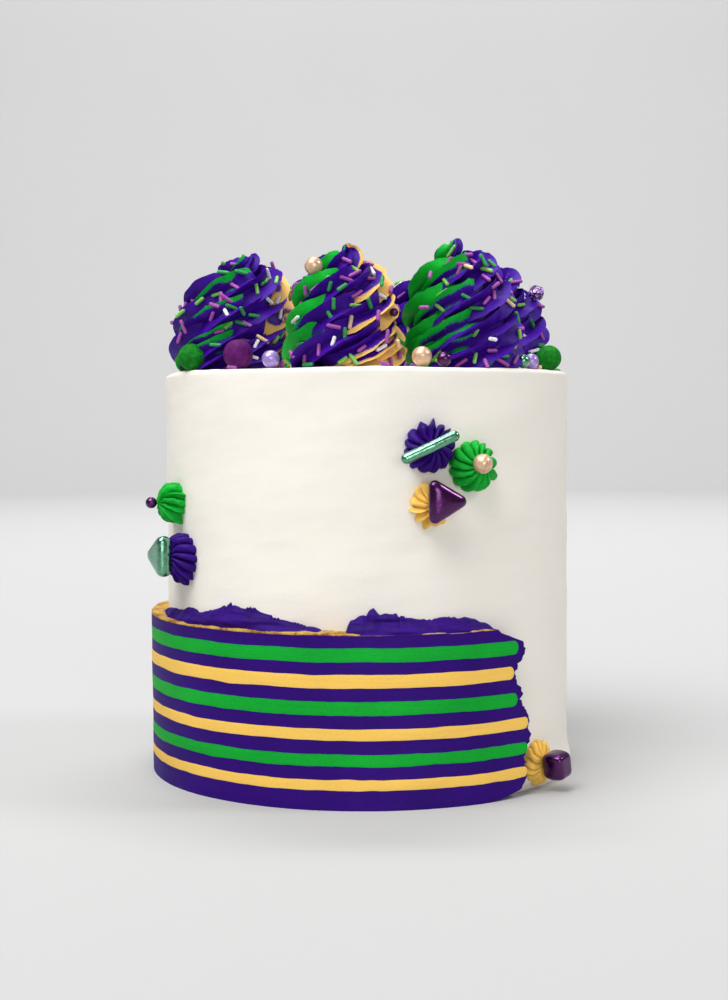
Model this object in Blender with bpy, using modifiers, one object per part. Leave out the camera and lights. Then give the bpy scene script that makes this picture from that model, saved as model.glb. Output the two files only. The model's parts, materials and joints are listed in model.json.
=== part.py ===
"""A tall iced cake: white icing, a combed band of purple, green and gold stripes round its foot,
seven piped swirls on top, piped stars on its side, and balls, pearls, sweets and sprinkles.

Metres, +Z up. The origin is the middle of the flat base, and the front of the cake faces -Y.
Angles round the cake run from the front, positive towards +X.
"""
import math

import bmesh
import bpy
import numpy as np
from mathutils import Matrix, Vector
from mathutils.bvhtree import BVHTree

MM = 0.001
GAP = 0.3 * MM
SMALLEST_EDGE = 0.05 * MM

BODY_RADIUS = 75.0 * MM
BODY_HEIGHT = 146.5 * MM
BODY_RIM_ROUND = 3.2 * MM
BODY_RIM_CORNER = 0.3 * BODY_RIM_ROUND
BODY_FOOT_FLARE = 1.6 * MM
BODY_FOOT_HEIGHT = 13.0 * MM
FOOT_BULGE_HEIGHT = 0.25 * BODY_FOOT_HEIGHT
FOOT_BASE_FLARE = 0.7 * BODY_FOOT_FLARE
BODY_SIDES = 52

COAT_INNER = 75.75 * MM
COAT_OUTER = 81.3 * MM
COAT_TOP = 57.4 * MM
GROOVE_FLOOR = 78.2 * MM
# The inlay keeps a little more than the usual gap, as its flat facets cut the corners of the groove's
INLAY_FLOOR = GROOVE_FLOOR + 1.3 * GAP
STRIPE_PITCH = 8.72 * MM
STRIPE_WIDTH = 4.6 * MM
LOWEST_STRIPE = 8.33 * MM
STRIPE_COLOURS = ("gold", "green", "gold", "green", "gold", "green")
COAT_COLUMNS = 25
COAT_FIRST_COLUMN = 29.0
COAT_LAST_COLUMN = -223.0
COAT_FAR_END = -232.0
RIM_TOP = 59.2 * MM
RIM_INNER = 77.4 * MM
# The torn end at the front right: height in mm and angle in degrees
TORN_END = ((0.0, 36.0), (3.0, 38.0), (6.0, 41.4), (16.4, 42.1), (21.0, 43.6), (25.0, 43.6),
            (31.0, 41.2), (37.4, 40.0), (41.8, 38.0), (46.0, 38.8), (50.9, 41.8), (57.5, 33.0), (60.0, 32.0))
FAR_TEAR_SIZE = 2.0
FAR_TEAR_WAVES = 0.55

SMEAR_INNER = 75.4 * MM
SMEAR_THICKNESS = 1.3 * MM
SMEAR_EDGE_THICKNESS = 0.6 * SMEAR_THICKNESS
# Each smear's upper edge: angle in degrees and height in mm
SMEARS = {
    "smear_left": ((-75.0, 61.0), (-68.0, 62.5), (-61.0, 62.6), (-55.0, 64.2), (-50.0, 63.0), (-44.0, 65.8),
                   (-38.5, 66.5), (-32.8, 65.9), (-26.0, 63.2), (-20.0, 61.4), (-14.5, 60.0), (-10.8, 59.3)),
    "smear_right": ((-5.5, 60.4), (-2.5, 63.4), (1.3, 66.0), (4.0, 64.4), (6.8, 64.6), (11.0, 62.6),
                    (15.8, 62.3), (21.5, 62.6), (26.9, 62.1), (31.0, 60.2), (34.0, 59.2)),
    "smear_back": ((150.0, 60.2), (157.0, 63.2), (163.0, 62.4), (170.0, 65.6), (177.0, 64.2), (184.0, 66.2),
                   (191.0, 63.4), (198.0, 62.6), (206.0, 60.2)),
}

SWIRL_RING = 53.5 * MM
SWIRL_TEETH = 9
RIDGES_PER_TURN = 11
SWIRL_TWIST = RIDGES_PER_TURN / SWIRL_TEETH
SWIRL_GROOVE = 0.34
GROOVE_SHAPE = 0.85
ROPE_SHARE = 0.42
ROPE_THINNING = 0.1
ROPE_SEAT = 0.68
LEVEL_SHARE = 0.17
TIP_START = 0.78
TIP_SHARPNESS = 0.9
RISE_POWER = 1.0
LEAN_POWER = 2.5
# What is left of the rope's thickness at its tip and at its start, and the share over which it fills out
TIP_THICKNESS = 0.03
START_THICKNESS = 0.3
START_SHARE = 0.03
ROPE_STEPS = 96
ROPE_SIDES = 72
TANGENT_STEP = 0.001
# A cone that fills the middle of the spiral, as shares of the swirl's radius and height
SPINDLE_SHARE = 0.64
SPINDLE_HEIGHT_SHARE = 0.8
SPINDLE_TIP = 1.0 * MM
SPINDLE_SIDES = 24
SWIRL_VOXEL = 1.0 * MM
SWIRL_TRIANGLES = 500
# name: angle round the cake, radius, height, first turn's start, turns, lean of the tip, its direction, taper
SWIRLS = {
    "swirl_1": (-66.0, 22.8, 42.8, 200.0, 4.4, 7.5, 5.0, 3.4),
    "swirl_2": (-8.0, 21.3, 42.6, 250.0, 4.5, 1.0, 20.0, 2.5),
    "swirl_3": (40.0, 21.8, 45.6, 120.0, 4.5, 2.5, 200.0, 2.5),
    "swirl_4": (107.0, 20.6, 44.0, 60.0, 4.4, 3.5, 180.0, 3.3),
    "swirl_5": (155.0, 21.0, 43.5, 10.0, 4.5, 1.5, 90.0, 2.7),
    "swirl_6": (202.0, 21.2, 44.0, 300.0, 4.4, 2.0, 30.0, 2.8),
    "swirl_7": (248.0, 21.0, 43.2, 330.0, 4.5, 2.0, 10.0, 2.6),
}

STAR_TEETH = 12
STAR_GROOVE = 0.2
STAR_TURN = 0.35
STAR_BASE = BODY_RADIUS + GAP
# name: colour, angle round the cake, height up the side, diameter, how far it stands out, in mm
STARS = {
    "star_purple_front": ("purple", 15.8, 119.8, 18.0, 6.4),
    "star_green_front": ("green", 27.7, 113.2, 18.2, 6.6),
    "star_gold_front": ("gold", 16.5, 101.0, 15.6, 4.8),
    "star_green_left": ("green", -64.3, 99.9, 15.5, 7.6),
    "star_purple_left": ("purple", -58.9, 81.0, 18.0, 7.2),
    "star_gold_foot": ("gold", 51.0, 8.8, 16.4, 4.4),
    "star_green_back": ("green", 152.0, 118.0, 17.0, 6.6),
    "star_purple_back": ("purple", 163.5, 110.5, 18.0, 6.6),
    "star_gold_back": ("gold", 152.5, 100.5, 15.5, 6.2),
}

# name: colour, x, y, height of the middle above the cake's top, radius, in mm
BALLS = {
    "ball_green_left": ("leaf", -61.6, -38.0, 5.1, 4.8),
    "ball_purple_left": ("plum", -44.4, -47.6, 5.5, 5.2),
    "pearl_lilac_left": ("lilac", -32.3, -61.6, 3.2, 3.0),
    "pearl_gold_high": ("pearl", -17.6, -60.0, 34.6, 3.1),
    "pearl_gold_front": ("pearl", 18.6, -68.0, 3.55, 3.35),
    "ball_plum_front": ("violet", 26.2, -65.3, 2.7, 2.5),
    "ball_mint_right": ("mint", 54.6, -45.4, 2.7, 2.4),
    "pearl_lilac_right": ("lilac", 58.6, -34.0, 3.1, 2.8),
    "ball_green_right": ("leaf", 66.5, -20.5, 4.9, 4.6),
    "ball_plum_small": ("violet", 9.5, -59.2, 18.9, 1.5),
    "ball_green_back": ("leaf", 46.5, 51.0, 5.0, 4.8),
    "pearl_gold_back": ("pearl", 56.5, 41.5, 3.5, 3.3),
    "ball_purple_back": ("plum", 2.0, 69.5, 5.2, 5.0),
    "pearl_lilac_back": ("lilac", -7.6, 68.6, 3.2, 3.0),
}
CRYSTAL = ("crystal_violet", 65.4, 8.8, 31.0, 2.7)

ROD_LENGTH = 21.5 * MM
ROD_RADIUS = 1.75 * MM
TRIANGLE_SIDE = 14.4 * MM
TRIANGLE_THICKNESS = 4.3 * MM
CUBE_SIZE = 8.6 * MM
SWEET_ROUNDING = 0.9 * MM
# name: shape, colour, angle round the cake, height up the side, distance from the axis, tilt, in mm and degrees
SWEETS = {
    "sweet_rod": ("rod", "mint", 14.4, 119.8, 83.6, 24.0),
    "sweet_triangle_front": ("triangle", "violet", 17.8, 101.8, 82.2, 0.0),
    "sweet_triangle_left": ("triangle", "mint", -60.4, 81.6, 83.9, 180.0),
    "sweet_cube": ("cube", "violet", 50.6, 9.0, 84.6, 10.0),
}
# name: colour, angle round the cake, height up the side, distance from the axis, radius, in mm
SIDE_PEARLS = {
    "pearl_gold_side": ("pearl", 26.9, 114.2, 84.6, 3.3),
    "ball_plum_left": ("violet", -64.6, 100.2, 84.9, 2.05),
    "pearl_gold_rear": ("pearl", 152.2, 118.4, 84.3, 3.1),
    "pearl_lilac_rear": ("lilac", 163.5, 110.8, 84.3, 3.0),
    "ball_plum_rear": ("violet", 152.5, 100.8, 83.3, 2.4),
}
PRESS_GAP = 0.25 * MM
# The ball that presses a seat is made this much larger, because its facets lie inside its true round
PRESS_FACETS = 1.08
# How far from a star's middle a sweet can still reach it, past the star's radius
PRESS_REACH = 8.0 * MM
# A sweet's seat grows by this many gaps, measured where the sweet is about this share of its longest reach
PRESS_GAPS = 1.5
PRESS_SHARE = 0.45

SPRINKLE_LENGTH = 6.2 * MM
SPRINKLE_RADIUS = 0.8 * MM
SPRINKLES_ON_SWIRL = 8
SPRINKLES_ON_TOP = 8
SPRINKLE_LIFT = 0.35 * MM
SPRINKLE_CLEARANCE = 0.5 * MM
SPRINKLE_SEED = 11
# Where sprinkles land on a swirl, as shares of its height, and how they are dropped on it
SPRINKLE_LOWEST = 0.12
SPRINKLE_SPREAD = 0.72
DROP_SLOPE = 0.35
DROP_DISTANCE = 60.0 * MM
NEIGHBOUR_GAP = 1.2
# Where sprinkles land on the cake's top, as shares of its radius
TOP_RING_INNER = 0.85
TOP_RING_WIDTH = 0.07
TOP_MIDDLE = 0.25
TOP_RING_DRAWS = 0.8
SWIRL_FOOT_GAP = 0.5
# The sugar crystal's points lie at these shares of its radius
CRYSTAL_LEAST = 0.86
CRYSTAL_SPREAD = 0.28
LARGE_BALL = 2.6 * MM

PAINTS = {
    "white": ((0.86, 0.85, 0.80), 0.55, 0.0),
    "purple": ((0.045, 0.010, 0.20), 0.5, 0.0),
    "green": ((0.008, 0.30, 0.035), 0.5, 0.0),
    "gold": ((0.85, 0.52, 0.14), 0.5, 0.0),
    "leaf": ((0.005, 0.17, 0.012), 0.6, 0.0),
    "plum": ((0.09, 0.012, 0.11), 0.6, 0.0),
    "lilac": ((0.42, 0.30, 0.68), 0.3, 0.0),
    "pearl": ((0.78, 0.56, 0.34), 0.3, 0.3),
    "violet": ((0.06, 0.015, 0.12), 0.2, 0.7),
    "mint": ((0.13, 0.50, 0.30), 0.25, 0.7),
}


def clear_scene():
    for old in list(bpy.data.objects):
        bpy.data.objects.remove(old)


def paint(name):
    material = bpy.data.materials.get(name)
    if material is None:
        colour, roughness, metallic = PAINTS[name]
        material = bpy.data.materials.new(name)
        material.use_nodes = True
        shader = material.node_tree.nodes["Principled BSDF"]
        shader.inputs["Base Color"].default_value = (*colour, 1.0)
        shader.inputs["Roughness"].default_value = roughness
        shader.inputs["Metallic"].default_value = metallic
    return material


def new_collection(name):
    collection = bpy.data.collections.new(name)
    bpy.context.scene.collection.children.link(collection)
    return collection


def add_object(name, bm, collection, colour, smooth=True):
    """Turn a bmesh into a named object with its own material."""
    bmesh.ops.recalc_face_normals(bm, faces=bm.faces)
    mesh = bpy.data.meshes.new(name)
    bm.to_mesh(mesh)
    bm.free()
    mesh.materials.append(paint(colour))
    piece = bpy.data.objects.new(name, mesh)
    collection.objects.link(piece)
    if smooth:
        mesh.shade_smooth()
        mesh.set_sharp_from_angle(angle=math.radians(40))
    return piece


def evaluated_mesh(piece):
    """The piece's mesh with its modifiers worked in."""
    graph = bpy.context.evaluated_depsgraph_get()
    graph.update()
    return bpy.data.meshes.new_from_object(piece.evaluated_get(graph))


def apply_modifiers(piece):
    mesh = evaluated_mesh(piece)
    piece.modifiers.clear()
    piece.data = mesh


def loft(bm, rings):
    """Join each ring of points to the next, split from low to high, and close both ends."""
    grid = [[bm.verts.new(point) for point in ring] for ring in rings]
    for near, far in zip(grid, grid[1:]):
        for index in range(len(near)):
            following = (index + 1) % len(near)
            if near[index].co.z <= near[following].co.z:
                bm.faces.new((near[index], near[following], far[following]))
                bm.faces.new((near[index], far[following], far[index]))
            else:
                bm.faces.new((near[index], near[following], far[index]))
                bm.faces.new((near[following], far[following], far[index]))
    bm.faces.new(grid[0][::-1])
    bm.faces.new(grid[-1])


def round_cake(angle, radius, height):
    """The point at an angle in degrees from the front."""
    turn = math.radians(angle)
    return Vector((radius * math.sin(turn), -radius * math.cos(turn), height))


def between(points, where):
    """Read a height or angle off a short list of points."""
    return float(np.interp(where, [point[0] for point in points], [point[1] for point in points]))


def outward_frame(angle, height, radius, tilt=0.0):
    """A frame on the cake's side: X to the right, Y up the side, Z outwards, turned by tilt degrees."""
    turn = math.radians(angle)
    across = Vector((math.cos(turn), math.sin(turn), 0.0))
    outwards = Vector((math.sin(turn), -math.cos(turn), 0.0))
    frame = Matrix.Identity(4)
    frame.col[0].xyz = across
    frame.col[1].xyz = Vector((0.0, 0.0, 1.0))
    frame.col[2].xyz = outwards
    frame.translation = outwards * radius + Vector((0.0, 0.0, height))
    return frame @ Matrix.Rotation(math.radians(tilt), 4, "Z")


# White cake body, a turned profile

def make_body(collection):
    outline = [
        (0.0, BODY_HEIGHT),
        (BODY_RADIUS - BODY_RIM_ROUND, BODY_HEIGHT),
        (BODY_RADIUS - BODY_RIM_CORNER, BODY_HEIGHT - BODY_RIM_CORNER),
        (BODY_RADIUS, BODY_HEIGHT - BODY_RIM_ROUND),
        (BODY_RADIUS, BODY_FOOT_HEIGHT),
        (BODY_RADIUS + BODY_FOOT_FLARE, FOOT_BULGE_HEIGHT),
        (BODY_RADIUS + FOOT_BASE_FLARE, 0.0),
        (0.0, 0.0),
    ]
    bm = bmesh.new()
    points = [bm.verts.new((radius, 0.0, height)) for radius, height in outline]
    for upper, lower in zip(points, points[1:]):
        bm.edges.new((upper, lower))
    mesh = bpy.data.meshes.new("cake_body")
    bm.to_mesh(mesh)
    bm.free()
    mesh.materials.append(paint("white"))
    body = bpy.data.objects.new("cake_body", mesh)
    collection.objects.link(body)
    turned = body.modifiers.new("turned", "SCREW")
    turned.steps = BODY_SIDES
    turned.render_steps = BODY_SIDES
    turned.use_merge_vertices = True
    turned.merge_threshold = 0.0001
    turned.use_smooth_shade = False
    apply_modifiers(body)
    return body


# Striped band: a purple coat with grooves, and an inlay in each groove

def coat_angle(column, height):
    """The angle of a column of the band, whose first and last columns are torn ends."""
    if column == 0:
        return between(TORN_END, height / MM)
    if column == COAT_COLUMNS:
        return COAT_FAR_END + FAR_TEAR_SIZE * math.sin(FAR_TEAR_WAVES * height / MM)
    share = (column - 1) / (COAT_COLUMNS - 2)
    return COAT_FIRST_COLUMN + (COAT_LAST_COLUMN - COAT_FIRST_COLUMN) * share


def coat_rings(outline):
    rings = []
    for column in range(COAT_COLUMNS + 1):
        rings.append([round_cake(coat_angle(column, height), radius, height) for radius, height in outline])
    return rings


def stripe_edges(index):
    middle = LOWEST_STRIPE + index * STRIPE_PITCH
    return middle - 0.5 * STRIPE_WIDTH, middle + 0.5 * STRIPE_WIDTH


def make_band(collection):
    outline = [
        (COAT_INNER, COAT_TOP),
        (COAT_INNER, BODY_FOOT_HEIGHT),
        (COAT_INNER + BODY_FOOT_FLARE, FOOT_BULGE_HEIGHT),
        (COAT_INNER + FOOT_BASE_FLARE, 0.0),
        (COAT_OUTER, 0.0),
    ]
    for index in range(len(STRIPE_COLOURS)):
        low, high = stripe_edges(index)
        outline += [(COAT_OUTER, low), (GROOVE_FLOOR, low), (GROOVE_FLOOR, high), (COAT_OUTER, high)]
    outline.append((COAT_OUTER, COAT_TOP))
    bm = bmesh.new()
    loft(bm, coat_rings(outline))
    add_object("coat_purple", bm, collection, "purple")
    for index, colour in enumerate(STRIPE_COLOURS):
        low, high = stripe_edges(index)
        section = [(INLAY_FLOOR, high - GAP), (INLAY_FLOOR, low + GAP), (COAT_OUTER, low + GAP),
                   (COAT_OUTER, high - GAP)]
        bm = bmesh.new()
        loft(bm, coat_rings(section))
        add_object(f"stripe_{colour}_{index + 1}", bm, collection, colour)
    low = COAT_TOP + GAP
    section = [(RIM_INNER, RIM_TOP), (RIM_INNER, low), (COAT_OUTER, low), (COAT_OUTER, RIM_TOP)]
    bm = bmesh.new()
    loft(bm, coat_rings(section))
    add_object("rim_gold", bm, collection, "gold")


def make_smear(name, edge, collection):
    """Purple left on the white icing above the band, thin at its torn upper edge."""
    rings = []
    foot = COAT_TOP + GAP
    for angle, top in edge:
        top = top * MM
        outer = SMEAR_INNER + SMEAR_THICKNESS
        rings.append([
            round_cake(angle, SMEAR_INNER, top),
            round_cake(angle, SMEAR_INNER, foot),
            round_cake(angle, outer, foot),
            round_cake(angle, SMEAR_INNER + SMEAR_EDGE_THICKNESS, top),
        ])
    bm = bmesh.new()
    loft(bm, rings)
    add_object(name, bm, collection, "purple")


# Piped swirls: a ridged rope of icing on a rising spiral

def rope_at(swirl, share):
    """Middle, radius and turn of the rope, share 0 at its start and 1 at its tip."""
    _, radius, height, start, turns, lean, lean_direction, taper = swirl
    first = radius * MM * ROPE_SHARE
    thickness = first * (1.0 - ROPE_THINNING * share)
    tip = max(0.0, (share - TIP_START) / (1.0 - TIP_START))
    thickness *= TIP_THICKNESS + (1.0 - TIP_THICKNESS) * (1.0 - tip) ** TIP_SHARPNESS
    climb = max(0.0, (share - LEVEL_SHARE) / (1.0 - LEVEL_SHARE))
    spread = (radius * MM - first) * (1.0 - climb ** taper)
    seat = ROPE_SEAT * first
    rise = seat + (height * MM - seat) * climb ** RISE_POWER
    turn = math.radians(start) + 2.0 * math.pi * turns * share
    leaning = lean * MM * share ** LEAN_POWER
    direction = math.radians(lean_direction)
    middle = Vector((
        spread * math.cos(turn) + leaning * math.cos(direction),
        spread * math.sin(turn) + leaning * math.sin(direction),
        rise,
    ))
    return middle, thickness, turn


def groove_depth(on_nozzle):
    """0 on a ridge's sharp crest and 1 in the middle of a groove."""
    return abs(math.sin(0.5 * SWIRL_TEETH * on_nozzle)) ** GROOVE_SHAPE


def rope_ring(swirl, share):
    """One star-shaped section of the rope. The nozzle keeps its heading, so the ridges climb round the rope."""
    middle, thickness, turn = rope_at(swirl, share)
    before = rope_at(swirl, max(0.0, share - TANGENT_STEP))[0]
    after = rope_at(swirl, min(1.0, share + TANGENT_STEP))[0]
    along = (after - before).normalized()
    outwards = Vector((math.cos(turn), math.sin(turn), 0.0))
    upwards = outwards.cross(along).normalized()
    sideways = along.cross(upwards).normalized()
    blunt = min(1.0, START_THICKNESS + share / START_SHARE)
    ring = []
    for side in range(ROPE_SIDES):
        on_nozzle = 2.0 * math.pi * side / ROPE_SIDES
        reach = thickness * blunt * (1.0 - SWIRL_GROOVE * groove_depth(on_nozzle))
        around = on_nozzle + SWIRL_TWIST * turn
        ring.append(middle + reach * (math.cos(around) * sideways + math.sin(around) * upwards))
    return ring


def keep_largest(bm):
    """Drop loose scraps and sealed hollows, and keep the one outer skin."""
    bm.verts.ensure_lookup_table()
    unseen = set(bm.verts)
    islands = []
    while unseen:
        island = set()
        front = [unseen.pop()]
        while front:
            vert = front.pop()
            island.add(vert)
            for edge in vert.link_edges:
                other = edge.other_vert(vert)
                if other in unseen:
                    unseen.discard(other)
                    front.append(other)
        islands.append(island)
    islands.sort(key=len)
    for island in islands[:-1]:
        bmesh.ops.delete(bm, geom=list(island), context="VERTS")


def swirl_place(swirl):
    return round_cake(swirl[0], SWIRL_RING, BODY_HEIGHT)


def make_swirl_core(name, swirl, collection):
    bm = bmesh.new()
    loft(bm, [rope_ring(swirl, step / ROPE_STEPS) for step in range(ROPE_STEPS + 1)])
    spindle_height = SPINDLE_HEIGHT_SHARE * swirl[2] * MM
    spindle = Matrix.Translation((0.0, 0.0, 0.5 * spindle_height))
    bmesh.ops.create_cone(bm, cap_ends=True, segments=SPINDLE_SIDES, radius1=SPINDLE_SHARE * swirl[1] * MM,
                          radius2=SPINDLE_TIP, depth=spindle_height, matrix=spindle)
    core = add_object(name, bm, collection, "purple")
    fused = core.modifiers.new("fused", "REMESH")
    fused.mode = "VOXEL"
    fused.voxel_size = SWIRL_VOXEL
    apply_modifiers(core)
    coarse = core.modifiers.new("coarse", "DECIMATE")
    triangles = sum(len(face.vertices) - 2 for face in core.data.polygons)
    coarse.ratio = SWIRL_TRIANGLES / triangles
    apply_modifiers(core)
    bm = bmesh.new()
    bm.from_mesh(core.data)
    whole = bm.verts[:] + bm.edges[:] + bm.faces[:]
    bmesh.ops.bisect_plane(bm, geom=whole, dist=1e-7, plane_co=(0.0, 0.0, GAP), plane_no=(0.0, 0.0, -1.0),
                           clear_outer=True)
    keep_largest(bm)
    rim = [edge for edge in bm.edges if edge.is_boundary]
    bmesh.ops.contextual_create(bm, geom=rim)
    bmesh.ops.triangulate(bm, faces=bm.faces)
    bmesh.ops.dissolve_degenerate(bm, edges=bm.edges, dist=SMALLEST_EDGE)
    bmesh.ops.translate(bm, verts=bm.verts, vec=swirl_place(swirl))
    bmesh.ops.recalc_face_normals(bm, faces=bm.faces)
    bm.to_mesh(core.data)
    bm.free()
    return core


def combine(piece, tools, operation):
    """One Boolean on a collection of tool objects, which are then removed."""
    if not tools:
        return
    pool = bpy.data.collections.new("tools")
    bpy.context.scene.collection.children.link(pool)
    for tool in tools:
        pool.objects.link(tool)
        tool.hide_render = True
        tool.display_type = "WIRE"
    joined = piece.modifiers.new("joined", "BOOLEAN")
    joined.operation = operation
    joined.operand_type = "COLLECTION"
    joined.collection = pool
    joined.solver = "MANIFOLD"
    apply_modifiers(piece)
    for tool in tools:
        bpy.data.objects.remove(tool)
    bpy.data.collections.remove(pool)


def ball_tool(name, place, radius):
    bm = bmesh.new()
    bmesh.ops.create_icosphere(bm, subdivisions=2, radius=radius, matrix=Matrix.Translation(place))
    mesh = bpy.data.meshes.new(name)
    bm.to_mesh(mesh)
    bm.free()
    return bpy.data.objects.new(name, mesh)


def sprinkle_tool(name, frame):
    """A short rod with its length along the frame's X."""
    bm = bmesh.new()
    lying = Matrix.Rotation(math.radians(90), 4, "Y")
    bmesh.ops.create_cone(bm, cap_ends=True, segments=6, radius1=SPRINKLE_RADIUS, radius2=SPRINKLE_RADIUS,
                          depth=SPRINKLE_LENGTH, matrix=frame @ lying)
    mesh = bpy.data.meshes.new(name)
    bm.to_mesh(mesh)
    bm.free()
    return bpy.data.objects.new(name, mesh)


def lying_frame(place, normal, heading):
    """A frame on a surface: Z along the normal, X turned by the heading."""
    frame = normal.to_track_quat("Z", "Y").to_matrix().to_4x4()
    frame.translation = place + normal * SPRINKLE_LIFT
    return frame @ Matrix.Rotation(heading, 4, "Z")


def rod_ends(frame):
    half = 0.5 * SPRINKLE_LENGTH
    return [frame @ Vector((share * half, 0.0, 0.0)) for share in (-1.0, -0.5, 0.0, 0.5, 1.0)]


def is_free(points, keep_clear):
    """True where a sprinkle stays clear of every ball, given as a middle and a radius."""
    for middle, radius in keep_clear:
        for point in points:
            if (point - middle).length < radius + SPRINKLE_RADIUS + SPRINKLE_CLEARANCE:
                return False
    return True


def swirl_sprinkles(name, swirl, core, keep_clear, other_places):
    """Sprinkles that lie on a swirl, each dropped on it from the side by a seeded draw."""
    draw = np.random.RandomState(SPRINKLE_SEED + int(name[-1]))
    tree = BVHTree.FromPolygons([vert.co.copy() for vert in core.data.vertices],
                                [tuple(face.vertices) for face in core.data.polygons])
    place = swirl_place(swirl)
    tools = []
    while len(tools) < SPRINKLES_ON_SWIRL:
        around, share, heading = draw.random_sample(3)
        start_angle = 2.0 * math.pi * around
        height = (SPRINKLE_LOWEST + SPRINKLE_SPREAD * share) * swirl[2] * MM
        aim = place + Vector((0.0, 0.0, height))
        far = aim + Vector((math.cos(start_angle), math.sin(start_angle), DROP_SLOPE)) * DROP_DISTANCE
        hit, normal, _, _ = tree.ray_cast(far, (aim - far).normalized())
        if hit is None:
            continue
        frame = lying_frame(hit, normal, math.pi * heading)
        points = rod_ends(frame)
        crowded = any(math.hypot(point.x - other.x, point.y - other.y) < reach
                      for point in points for other, reach in other_places)
        near_top = min(point.z for point in points) < BODY_HEIGHT + SPRINKLE_RADIUS + GAP
        if crowded or near_top or not is_free(points, keep_clear):
            continue
        keep_clear.append((frame.translation.copy(), 0.5 * SPRINKLE_LENGTH))
        tools.append(sprinkle_tool(f"sprinkle_{len(tools)}", frame))
    return tools


def make_swirls(collection, balls):
    for name, swirl in SWIRLS.items():
        core = make_swirl_core(name, swirl, collection)
        pressed = []
        for middle, radius in balls:
            away = math.hypot(middle.x - swirl_place(swirl).x, middle.y - swirl_place(swirl).y)
            if away < swirl[1] * MM + radius:
                pressed.append(ball_tool("press", middle, (radius + PRESS_GAP) * PRESS_FACETS))
        combine(core, pressed, "DIFFERENCE")
        others = [(swirl_place(other), (other[1] + NEIGHBOUR_GAP) * MM)
                  for key, other in SWIRLS.items() if key != name]
        tools = swirl_sprinkles(name, swirl, core, list(balls), others)
        combine(core, tools, "UNION")
        core.data.shade_flat()


def top_sprinkles(body, balls):
    """Sprinkles that lie flat on the cake's top, in the gaps between swirls and balls."""
    draw = np.random.RandomState(SPRINKLE_SEED)
    tools = []
    taken = list(balls)
    while len(tools) < SPRINKLES_ON_TOP:
        around, share, heading = draw.random_sample(3)
        angle = 360.0 * around
        in_ring = around < TOP_RING_DRAWS
        radius = BODY_RADIUS * (TOP_RING_INNER + TOP_RING_WIDTH * share if in_ring else TOP_MIDDLE * share)
        spot = round_cake(angle, radius, BODY_HEIGHT)
        frame = lying_frame(spot, Vector((0.0, 0.0, 1.0)), math.pi * heading)
        points = rod_ends(frame)
        under_swirl = any((point - swirl_place(swirl)).length < (swirl[1] + SWIRL_FOOT_GAP) * MM
                          for point in points for swirl in SWIRLS.values())
        if under_swirl or not is_free(points, taken):
            continue
        taken.append((frame.translation.copy(), 0.5 * SPRINKLE_LENGTH))
        tools.append(sprinkle_tool(f"sprinkle_{len(tools)}", frame))
    combine(body, tools, "UNION")


# Piped stars on the side

def star_base(spec):
    """How far out a star starts: the body is a little wider at its foot."""
    return STAR_BASE + (BODY_FOOT_FLARE if spec[2] * MM < BODY_FOOT_HEIGHT else 0.0)


def star_stand(spec):
    return spec[4] * MM - (star_base(spec) - STAR_BASE)


def make_star(name, spec, collection, sweets):
    colour, angle, height, diameter, _ = spec
    segments = 2 * STAR_TEETH
    bm = bmesh.new()
    bmesh.ops.create_uvsphere(bm, u_segments=segments, v_segments=6, radius=1.0)
    whole = bm.verts[:] + bm.edges[:] + bm.faces[:]
    bmesh.ops.bisect_plane(bm, geom=whole, dist=1e-6, plane_co=(0.0, 0.0, 0.0), plane_no=(0.0, 0.0, -1.0),
                           clear_outer=True)
    bmesh.ops.contextual_create(bm, geom=[edge for edge in bm.edges if edge.is_boundary])
    for vert in bm.verts:
        around = math.atan2(vert.co.y, vert.co.x)
        out = math.hypot(vert.co.x, vert.co.y)
        groove = 1.0 - STAR_GROOVE * abs(math.sin(0.5 * STAR_TEETH * around))
        around += STAR_TURN * vert.co.z
        reach = 0.5 * diameter * MM * out * groove
        rise = star_stand(spec) * vert.co.z
        vert.co = (reach * math.cos(around), reach * math.sin(around), rise)
    bmesh.ops.transform(bm, matrix=outward_frame(angle, height * MM, star_base(spec)), verts=bm.verts)
    star = add_object(name, bm, collection, colour)
    presses = []
    for sweet in sweets:
        if (sweet.location - star_middle(spec)).length < 0.5 * diameter * MM + PRESS_REACH:
            presses.append(press_copy(sweet))
    combine(star, presses, "DIFFERENCE")
    return star


def star_middle(spec):
    _, angle, height, _, _ = spec
    return round_cake(angle, star_base(spec) + 0.5 * star_stand(spec), height * MM)


def press_copy(sweet):
    """The sweet made a little larger, to press its seat into the icing."""
    mesh = evaluated_mesh(sweet)
    mesh.transform(sweet.matrix_world)
    middle = sweet.location
    size = max((vert.co - middle).length for vert in mesh.vertices)
    grow = 1.0 + PRESS_GAPS * PRESS_GAP / (PRESS_SHARE * size)
    for vert in mesh.vertices:
        vert.co = middle + (vert.co - middle) * grow
    return bpy.data.objects.new("press", mesh)


# Balls, pearls and sweets

def make_ball(name, colour, place, radius, collection):
    bm = bmesh.new()
    if radius > LARGE_BALL:
        bmesh.ops.create_icosphere(bm, subdivisions=2, radius=radius)
    else:
        bmesh.ops.create_uvsphere(bm, u_segments=8, v_segments=5, radius=radius)
    ball = add_object(name, bm, collection, colour)
    ball.location = place
    return ball


def make_crystal(collection):
    name, x, y, height, radius = CRYSTAL
    draw = np.random.RandomState(SPRINKLE_SEED)
    bm = bmesh.new()
    bmesh.ops.create_icosphere(bm, subdivisions=2, radius=radius * MM)
    for vert in bm.verts:
        vert.co *= CRYSTAL_LEAST + CRYSTAL_SPREAD * draw.random_sample()
    crystal = add_object(name, bm, collection, "violet", smooth=False)
    crystal.location = (x * MM, y * MM, BODY_HEIGHT + height * MM)
    return crystal


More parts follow.
